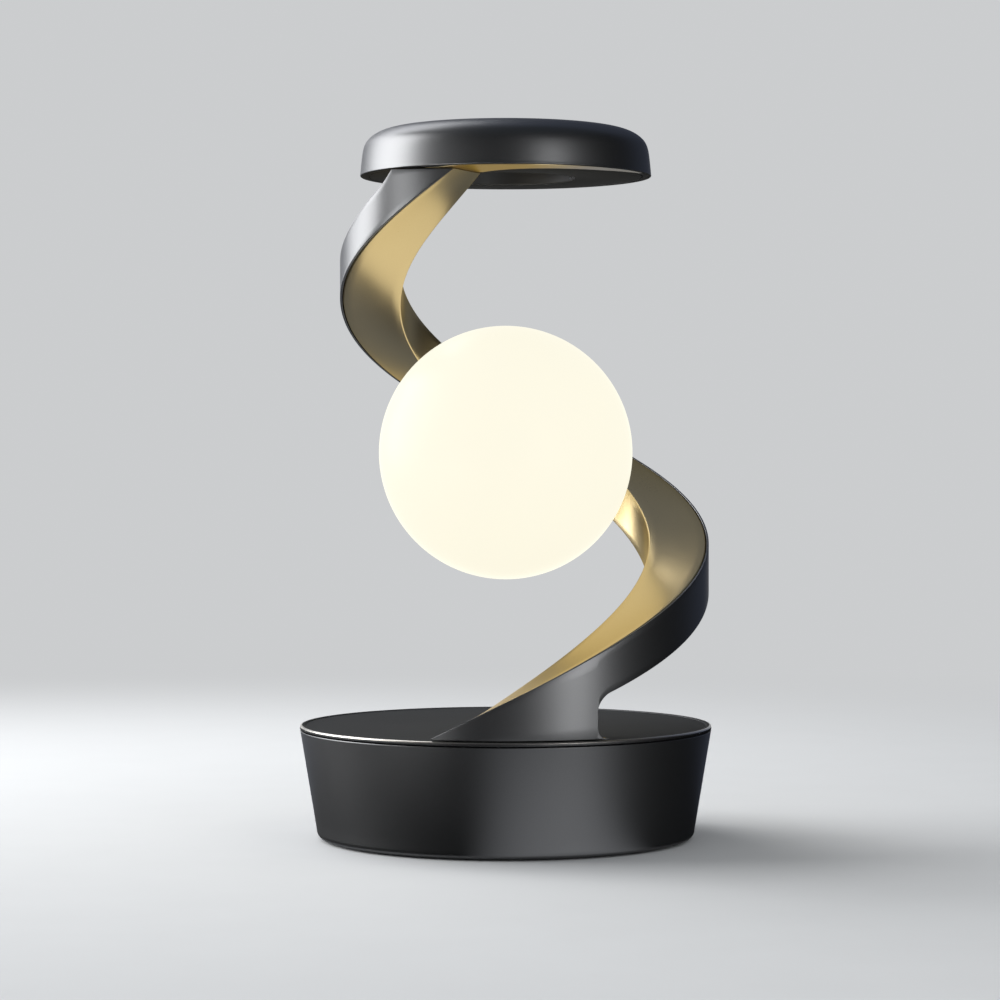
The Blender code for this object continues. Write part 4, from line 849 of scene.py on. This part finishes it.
def section_ring(edge):
    """The band's section as (depth share, height share, step in, step up), with rounded corners."""
    corners = ((0, 0, 180), (1, 0, 270), (1, 1, 0), (0, 1, 90))
    ring = []
    for (depth, height, start), (next_depth, next_height, _) in zip(corners, corners[1:] + corners[:1]):
        for turn in np.radians(np.linspace(start, start + 90, BAND_EDGE_STEPS + 1)):
            step_in = edge * (1 - 2 * depth + math.cos(turn))
            step_up = edge * (1 - 2 * height + math.sin(turn))
            ring.append((depth, height, step_in, step_up))
        for part in range(1, BAND_SIDE_PARTS):
            share = part / BAND_SIDE_PARTS
            along, up = depth + (next_depth - depth) * share, height + (next_height - height) * share
            ring.append((along, up, 0.0, 0.0))
    return ring


def flat_band(name, strips, edge):
    """The band before it is bent: rings of points that carry their place in the section."""
    ring = section_ring(edge)
    rows, faces = [], []
    for stations in strips:
        faces += ring_faces(len(rows), len(ring), len(stations))
        faces += end_faces(len(rows), len(ring), len(stations))
        rows += [(*station, *corner) for station in stations for corner in ring]
    points = [(angle, depth, height) for angle, _, _, depth, height, _, _ in rows]
    mesh = named_mesh(name, points, faces)
    for column, values in zip(BAND_COLUMNS, zip(*rows)):
        attribute = mesh.attributes.new(column, "FLOAT", "POINT")
        attribute.data.foreach_set("value", np.array(values, np.float32))
    return mesh


def band_tree(material):
    """The tree that bends a flat band round the lamp's axis along its rising edges."""
    sizes = ("Inset", "Depth", "Depth left", "Edge", "Ceiling", "Floor")
    tree, graph, given = new_tree("bend_band", dict.fromkeys(sizes, "Float"))

    def column(name):
        settings = {"data_type": "FLOAT"}
        return graph.add("GeometryNodeInputNamedAttribute", settings, {"Name": name})["Attribute"]

    angle, depth_share = column("angle"), column("depth_share")
    top = (band_top(angle) - column("top_drop")).at_most(given["Ceiling"])
    low = (band_low(angle) - column("low_drop")).at_least(given["Floor"]).at_most(top - BAND_LEAST)
    room = ((top - low) / (given["Edge"] * BAND_EDGE_ROOM)).at_most(1.0)
    height = low + (top - low) * column("height_share") + column("step_up") * room
    depth = given["Depth"] + band_depth(angle) * given["Depth left"]
    outside = 1 - depth_share * given["Depth left"]
    leaning = graph.between(angle, LEAN_START, LEAN_END) * LEAN * outside
    outer = band_outer(angle) + (height - low) * leaning
    radius = outer - given["Inset"] - depth * depth_share - column("step_in") * room
    turn = angle * (math.pi / 180)
    place = {"X": radius * turn.math("COSINE", turn), "Y": radius * turn.math("SINE", turn), "Z": height}
    point = graph.add("ShaderNodeCombineXYZ", {}, place)["Vector"]
    bent = graph.add("GeometryNodeSetPosition", {}, {"Geometry": given["Geometry"], "Position": point})
    end_tree(graph, bent["Geometry"], material)
    return tree


def band_piece(name, material, inset, depth, depth_left, edge, ceiling):
    """One piece of the band: flat strips of stations that the tree bends to its sizes."""
    obj = placed(name, flat_band(name, [band_stations(ceiling), toe_stations()], edge))
    sizes = {"Inset": inset, "Depth": depth, "Depth left": depth_left}
    sizes |= {"Edge": edge, "Ceiling": ceiling, "Floor": BAND_FLOOR}
    run_tree(obj, band_tree(material), sizes)
    for column in BAND_COLUMNS:
        obj.data.attributes.remove(obj.data.attributes[column])
    tidy_mesh(obj.data)
    return obj


def make_band(graphite, gold):
    """A thin graphite cover and, a seam behind it, the gold channel that fills the band's depth."""
    ceiling, inset = PAD_UNDERSIDE - SEAM, BAND_LIP + SEAM
    cover = band_piece("band_outer_cover", graphite, 0.0, BAND_LIP, 0.0, COVER_EDGE, ceiling)
    dressed(cover, "turntable", "graphite_plastic", "spiral_cover")
    channel = band_piece("band_gold_channel", gold, inset, -inset, 1.0, BAND_EDGE, PAD_UNDERSIDE)
    dressed(channel, "turntable", "gold_paint", "spiral_channel")


def make_crescent():
    """The gold crescent that spreads from the band's head over the pad's underside."""
    count, across, eased_over = 119, 10, 9
    angles = np.linspace(CRESCENT_ANGLES[0], CRESCENT_ANGLES[-1], count)

    def eased(shares):
        """The shares at each angle, evened out over their neighbours."""
        along = np.pad(np.interp(angles, CRESCENT_ANGLES, shares), eased_over // 2, mode="edge")
        return np.convolve(along, np.ones(eased_over) / eased_over, "valid")

    edges = list(zip(np.radians(angles), eased(CRESCENT_INNER_SHARES), eased(CRESCENT_OUTER_SHARES)))
    points, faces = [], []
    for z in (PAD_UNDERSIDE - CRESCENT_DROP, PAD_UNDERSIDE + CRESCENT_THICKNESS):
        for angle, near, far in edges:
            for radius in PAD_RADIUS * np.linspace(near, far, across):
                points.append((radius * math.cos(angle), radius * math.sin(angle), z))
    layer = count * across
    for k in range(count - 1):
        for j in range(across - 1):
            one = k * across + j
            faces.append((one, one + 1, one + across + 1, one + across))
            faces.append(tuple(layer + v for v in (one, one + across, one + across + 1, one + 1)))
    rim = list(range(across))
    rim += [k * across + across - 1 for k in range(1, count)]
    rim += [(count - 1) * across + j for j in range(across - 2, -1, -1)]
    rim += [k * across for k in range(count - 2, 0, -1)]
    faces += [(one, two, two + layer, one + layer) for one, two in zip(rim, rim[1:] + rim[:1])]
    mesh = named_mesh("band_crescent", points, faces)
    tidy_mesh(mesh)
    dressed(placed("band_crescent", mesh, crescent_finish()), "turntable", "gold_paint")


# The pad


def pad_side():
    """The pad's rounded side from its foot to its top, as (radius, height over the underside)."""
    count, eased_over, passes = 49, 7, 2
    height, edge = LAMP_TOP - PAD_UNDERSIDE, eased_over // 2
    corners = np.array(list(zip(PAD_WIDTH_SHARES, PAD_HEIGHT_SHARES))) * (PAD_RADIUS, height)
    steps = np.concatenate([[0], np.cumsum(np.hypot(*np.diff(corners, axis=0).T))])
    places = np.linspace(0, 1, count)
    widths = np.interp(places, steps / steps[-1], PAD_WIDTH_SHARES)
    heights = np.interp(places, steps / steps[-1], PAD_HEIGHT_SHARES)
    for shares in (widths, heights):
        for _ in range(passes):
            shares[edge:-edge] = np.convolve(shares, np.ones(eased_over) / eased_over, "valid")
    return list(zip(widths * PAD_RADIUS, heights * height))


def make_pad_cover(graphite, underside, ceiling):
    """The pad's turned cover, graphite outside, with painted shade on its faces that look down: a darker
    copy of its graphite.
    """
    facing_down = -0.7
    side = [(radius, PAD_UNDERSIDE + height) for radius, height in pad_side()]
    side[0] = (side[0][0], side[0][1] + PAD_ROUND)
    lip = PAD_PLATE_RADIUS + SEAM / 2
    foot = arc((PAD_RADIUS - PAD_ROUND, PAD_UNDERSIDE + PAD_ROUND), PAD_ROUND, -90, 0, EDGE_STEPS)
    section = [(0, LAMP_TOP), (PAD_RADIUS * PAD_FLAT_SHARE, LAMP_TOP)] + side[::-1] + foot[::-1][1:]
    section += [(lip, PAD_UNDERSIDE), (lip, ceiling), (0, ceiling)]
    cover = placed("pad_cover", turned_mesh("pad_cover", section), graphite)
    # The faces that look down get painted shade, a darker copy of the graphite.
    second_finish(cover, underside, lambda face: face.normal.z < facing_down)
    dressed(cover, "turntable", "graphite_plastic", "pad_top_cover")


def make_pad_plate(underside, top):
    """The plate under the pad, with a rounded lip and a round recess off its middle."""
    lip_centre = (PAD_PLATE_RADIUS - PAD_ROUND / 2, PAD_UNDERSIDE + PAD_ROUND / 2)
    section = [(0, top), (PAD_PLATE_RADIUS, top)]
    section += arc(lip_centre, PAD_ROUND / 2, 0, -90, LIP_STEPS)
    roof = PAD_UNDERSIDE + RECESS_DEPTH
    mouth_centre = (RECESS_RADIUS + PAD_ROUND, PAD_UNDERSIDE + PAD_ROUND)
    corner_centre = (RECESS_RADIUS - PAD_ROUND, roof - PAD_ROUND)
    recess = arc(mouth_centre, PAD_ROUND, 270, 180, EDGE_STEPS)
    recess += arc(corner_centre, PAD_ROUND, 0, 90, EDGE_STEPS)
    recess += [(RECESS_RADIUS / 2, roof), (0, roof)]
    section += [(radius, z, RECESS_OFFSET) for radius, z in recess]
    # The plate gets the same painted shade as the pad's faces that look down.
    plate = placed("pad_underplate", turned_mesh("pad_underplate", section), underside)
    dressed(plate, "turntable", "graphite_plastic", "pad_bottom_plate")


def make_pad(graphite, underside):
    ceiling = PAD_UNDERSIDE + PAD_ROOM
    make_pad_cover(graphite, underside, ceiling)
    make_pad_plate(underside, ceiling - SEAM)


# The base


def make_base(graphite):
    """The base's tapered shell on a rounded foot, with openings for the inlet and the button."""
    cone_drop, foot_gap = 0.0012, 0.0005
    foot_start, foot_end = -88, -6
    foot_steps, side_places = 10, 10
    fillet_top = SHELL_LOW + SHELL_FILLET
    cone_top = BASE_TOP - cone_drop

    def outer(height):
        share = (height - fillet_top) / (cone_top - fillet_top)
        return BASE_FOOT_RADIUS + (BASE_RADIUS - BASE_FOOT_RADIUS) * share

    foot_centre = (BASE_FOOT_RADIUS - SHELL_FILLET, fillet_top)
    rim_centre = (outer(SHELL_TOP) - SHELL_RIM, SHELL_TOP - SHELL_RIM)
    cavity = BASE_FOOT_RADIUS - SHELL_WALL - SEAM / 2
    section = arc(foot_centre, SHELL_FILLET, foot_start, foot_end, foot_steps)
    section += [(outer(z), z) for z in np.linspace(fillet_top + foot_gap, rim_centre[1], side_places)]
    section += arc(rim_centre, SHELL_RIM, 0, 90, EDGE_STEPS)
    section += [(outer(SHELL_TOP) - SHELL_WALL, SHELL_TOP), (cavity, fillet_top), (cavity, SHELL_LOW)]
    shell = placed("base_housing", turned_mesh("base_housing", section), graphite)
    cut_away(shell, inlet_cutter(), button_cutter())
    dressed(shell, "base", "graphite_plastic", "base_shell")


def slot_ring(width, height, y, middle):
    """A slot with round ends, upright at a depth y round a middle."""
    radius = height / 2
    reach = width / 2 - radius
    right = [(reach + x, z) for x, z in arc((0, 0), radius, -90, 90, SLOT_STEPS)]
    outline = right + [(-x, -z) for x, z in right]
    return [Vector((middle.x + x, y, middle.z + z)) for x, z in outline]


def inlet_cutter():
    low, high, middle = box_and_middle("usb_c_socket")
    width, height = high.x - low.x + SEAM, high.z - low.z + SEAM
    depths = (high.y - INLET_CUT_DEPTH, BASE_RADIUS + CUT_OVERRUN)
    rings = [slot_ring(width, height, y, middle) for y in depths]
    return placed("inlet_cutter", lofted_mesh("inlet_cutter", rings))


def button_cutter():
    _, high, middle = box_and_middle("mode_button")
    radius, near, far = BUTTON_RADIUS + SEAM, high.y - BUTTON_CUT_DEPTH, BASE_RADIUS + CUT_OVERRUN
    section = [(0, near), (radius, near), (radius, far), (0, far)]
    return placed("button_cutter", turned_mesh("button_cutter", section, CUTTER_FACETS, along_y(middle)))


def make_button(graphite):
    """The mode button: a round plunger with a soft edge and a dished face."""
    dish_margin, dish_places, edge_steps = 1.4, 7, 6
    low, high, middle = box_and_middle("mode_button")
    flange = (high.x - low.x) / 2
    foot = low.y + BUTTON_FLANGE
    section = [(0, low.y), (flange, low.y), (flange, foot), (BUTTON_RADIUS, foot)]
    edge_centre = (BUTTON_RADIUS - BUTTON_ROUND, high.y - BUTTON_ROUND)
    section += arc(edge_centre, BUTTON_ROUND, 0, 90, edge_steps)
    dish_radius = BUTTON_RADIUS - dish_margin * BUTTON_ROUND
    for share in np.linspace(1, 0, dish_places):
        section.append((dish_radius * share, high.y - BUTTON_DISH * (1 - share**2)))
    mesh = turned_mesh("mode_button_cap", section, BUTTON_FACETS, along_y(middle))
    dressed(placed("mode_button_cap", mesh, graphite), "button", "graphite_plastic", "mode_button")


def make_inlet_shell(steel):
    """The inlet's folded steel shell, with a rounded lip and a hollow inside."""
    low, high, middle = box_and_middle("usb_c_socket")
    width, height = high.x - low.x, high.z - low.z
    steps = [(0, low.y)]
    steps += [(INLET_WALL * share, high.y - INLET_WALL * back) for share, back in INLET_LIP_SHARES]
    steps += [(INLET_WALL, low.y + 2 * INLET_WALL)]
    rings = [slot_ring(width - 2 * inset, height - 2 * inset, y, middle) for inset, y in steps]
    shell = placed("inlet_shell", lofted_mesh("inlet_shell", rings), steel)
    dressed(shell, "base", "steel", "usb_c_socket")


def make_inlet_tongue(plastic):
    """The tongue inside the inlet, with a soft nose."""
    nose_length, nose_inset = INLET_TONGUE / 4, INLET_TONGUE / 10
    low, high, middle = box_and_middle("usb_c_socket")
    root, nose = low.y + INLET_WALL, high.y - INLET_NOSE_DEPTH
    corners = ((-1, -1), (1, -1), (1, 1), (-1, 1))
    rings = []
    for inset, y in ((0, root), (0, nose - nose_length), (nose_inset, nose)):
        half_width, half_height = INLET_TONGUE_WIDTH / 2 - inset, INLET_TONGUE / 2 - inset
        rings.append([(middle.x + a * half_width, y, middle.z + b * half_height) for a, b in corners])
    dressed(placed("inlet_tongue", lofted_mesh("inlet_tongue", rings), plastic), "base", "inner_plastic")


def contact_tree(material):
    """The tree that sets rows of contacts on both faces of the tongue."""
    sizes = {"Count": "Int", "Row width": "Float", "Rows apart": "Float"}
    sizes |= {"Contact size": "Vector", "Middle": "Vector"}
    tree, graph, given = new_tree("set_contacts", sizes)
    grid_sizes = {"Size X": given["Row width"], "Size Y": given["Rows apart"]}
    grid_sizes |= {"Vertices X": given["Count"], "Vertices Y": 2}
    grid = graph.add("GeometryNodeMeshGrid", {}, grid_sizes)
    upright = (math.pi / 2, 0, 0)
    move = {"Geometry": grid["Mesh"], "Translation": given["Middle"], "Rotation": upright}
    stood = graph.add("GeometryNodeTransform", {}, move)
    strip = graph.add("GeometryNodeMeshCube", {}, {"Size": given["Contact size"]})
    repeat = {"Points": stood["Geometry"], "Instance": strip["Mesh"]}
    rows = graph.add("GeometryNodeInstanceOnPoints", {}, repeat)
    end_tree(graph, rows["Instances"], material)
    return tree


def make_inlet_contacts(gilding):
    """Two rows of contacts on the tongue."""
    _, high, middle = box_and_middle("usb_c_socket")
    _, length, thickness = CONTACT_SIZE
    y = high.y - INLET_NOSE_DEPTH - INLET_TONGUE / 2 - length / 2
    sizes = {"Count": CONTACT_COUNT, "Row width": CONTACT_PITCH * (CONTACT_COUNT - 1)}
    sizes |= {"Rows apart": INLET_TONGUE + thickness / 2, "Contact size": CONTACT_SIZE}
    sizes |= {"Middle": (middle.x, y, middle.z)}
    obj = placed("inlet_contacts", bpy.data.meshes.new("inlet_contacts"))
    run_tree(obj, contact_tree(gilding), sizes)
    dressed(obj, "base", "copper")


def make_turntable(graphite, rim):
    """The turntable's disc: a shallow recess inside a narrow rim, whose rounded edge is bright with a
    painted highlight.
    """
    middle_share, slope_share, slope_end, edge_steps = 0.5, 0.25, 1.5, 8
    facing_up, level = 0.2, 1e-6
    low = SHELL_TOP + SEAM
    top = BASE_TOP - PLATE_RECESS
    inner = BASE_RADIUS - PLATE_ROUND
    step = inner - PLATE_RIM
    foot_centre = (BASE_RADIUS - PLATE_FOOT_ROUND, low + PLATE_FOOT_ROUND)
    section = [(0, top), (step * middle_share, top), (step, top)]
    section += [(step + PLATE_RECESS, BASE_TOP - PLATE_RECESS * slope_share)]
    section += [(step + slope_end * PLATE_RECESS, BASE_TOP)]
    section += arc((inner, BASE_TOP - PLATE_ROUND), PLATE_ROUND, 90, 0, edge_steps)
    section += arc(foot_centre, PLATE_FOOT_ROUND, 0, -90, LIP_STEPS)
    section += [(step * middle_share, low), (0, low)]

    def on_rounded_edge(face):
        outside = face.center.xy.length > inner - PLATE_ROUND
        return outside and face.normal.z > facing_up and face.center.z < BASE_TOP - level

    plate = placed("turntable_disc", turned_mesh("turntable_disc", section), graphite)
    # The rounded edge's faces that look up get a painted highlight.
    second_finish(plate, rim, on_rounded_edge)
    dressed(plate, "turntable", "graphite_plastic", "turntable_plate")


def make_globe(opal):
    """The globe: a thin shell whose mouth faces the band behind it."""
    pole, inner_pole, steps, inner_steps = -89, -88, 90, 60
    turn = math.radians(ARM_ANGLE)
    towards = Vector((math.cos(turn), math.sin(turn), 0))
    radius = band_outer(ARM_ANGLE) - band_depth(ARM_ANGLE) - GLOBE_GAP
    height = (band_top(ARM_ANGLE) + band_low(ARM_ANGLE)) / 2
    frame_of = Matrix.Translation((0, 0, height)) @ towards.to_track_quat("Z", "Y").to_matrix().to_4x4()
    mouth = 90 - math.degrees(math.asin(GLOBE_MOUTH / radius))
    inside = radius - GLOBE_WALL
    section = [(0, -radius)] + arc((0, 0), radius, pole, mouth, steps)
    section += arc((0, 0), inside, mouth, inner_pole, inner_steps) + [(0, -inside)]
    globe = placed("globe_diffuser", turned_mesh("globe_diffuser", section, GLOBE_FACETS, frame_of), opal)
    dressed(globe, "turntable", "opal_plastic", "globe_shell")


make_camera()
make_studio()
graphite_paint = graphite_finish("graphite_paint")
base_paint = graphite_finish("base_graphite")
top_paint = dark_graphite_and_shade_finish("turntable_graphite", TOP_GRAIN, TOP_ROUGHNESS, TOP_GRAZING)
# Painted shade for the pad's faces that look down: a darker copy of the graphite.
shaded_underside_paint = dark_graphite_and_shade_finish(
    "underside_painted_shade", GRAPHITE_GRAIN, UNDERSIDE_ROUGHNESS, UNDERSIDE_SHADE_GRAZING
)
make_band(graphite_paint, gold_finish())
make_crescent()
make_pad(graphite_paint, shaded_underside_paint)
make_base(base_paint)
make_turntable(top_paint, rim_highlight_finish())
make_globe(opal_finish())
make_button(base_paint)
make_inlet_shell(plain_finish("inlet_steel", *INNER_FINISHES["steel"]))
make_inlet_tongue(plain_finish("tongue_plastic", TONGUE_BLACK, TONGUE_ROUGHNESS))
make_inlet_contacts(plain_finish("contact_gold", CONTACT_GOLD, CONTACT_ROUGHNESS, metallic=1.0))
dress_carried_nodes()
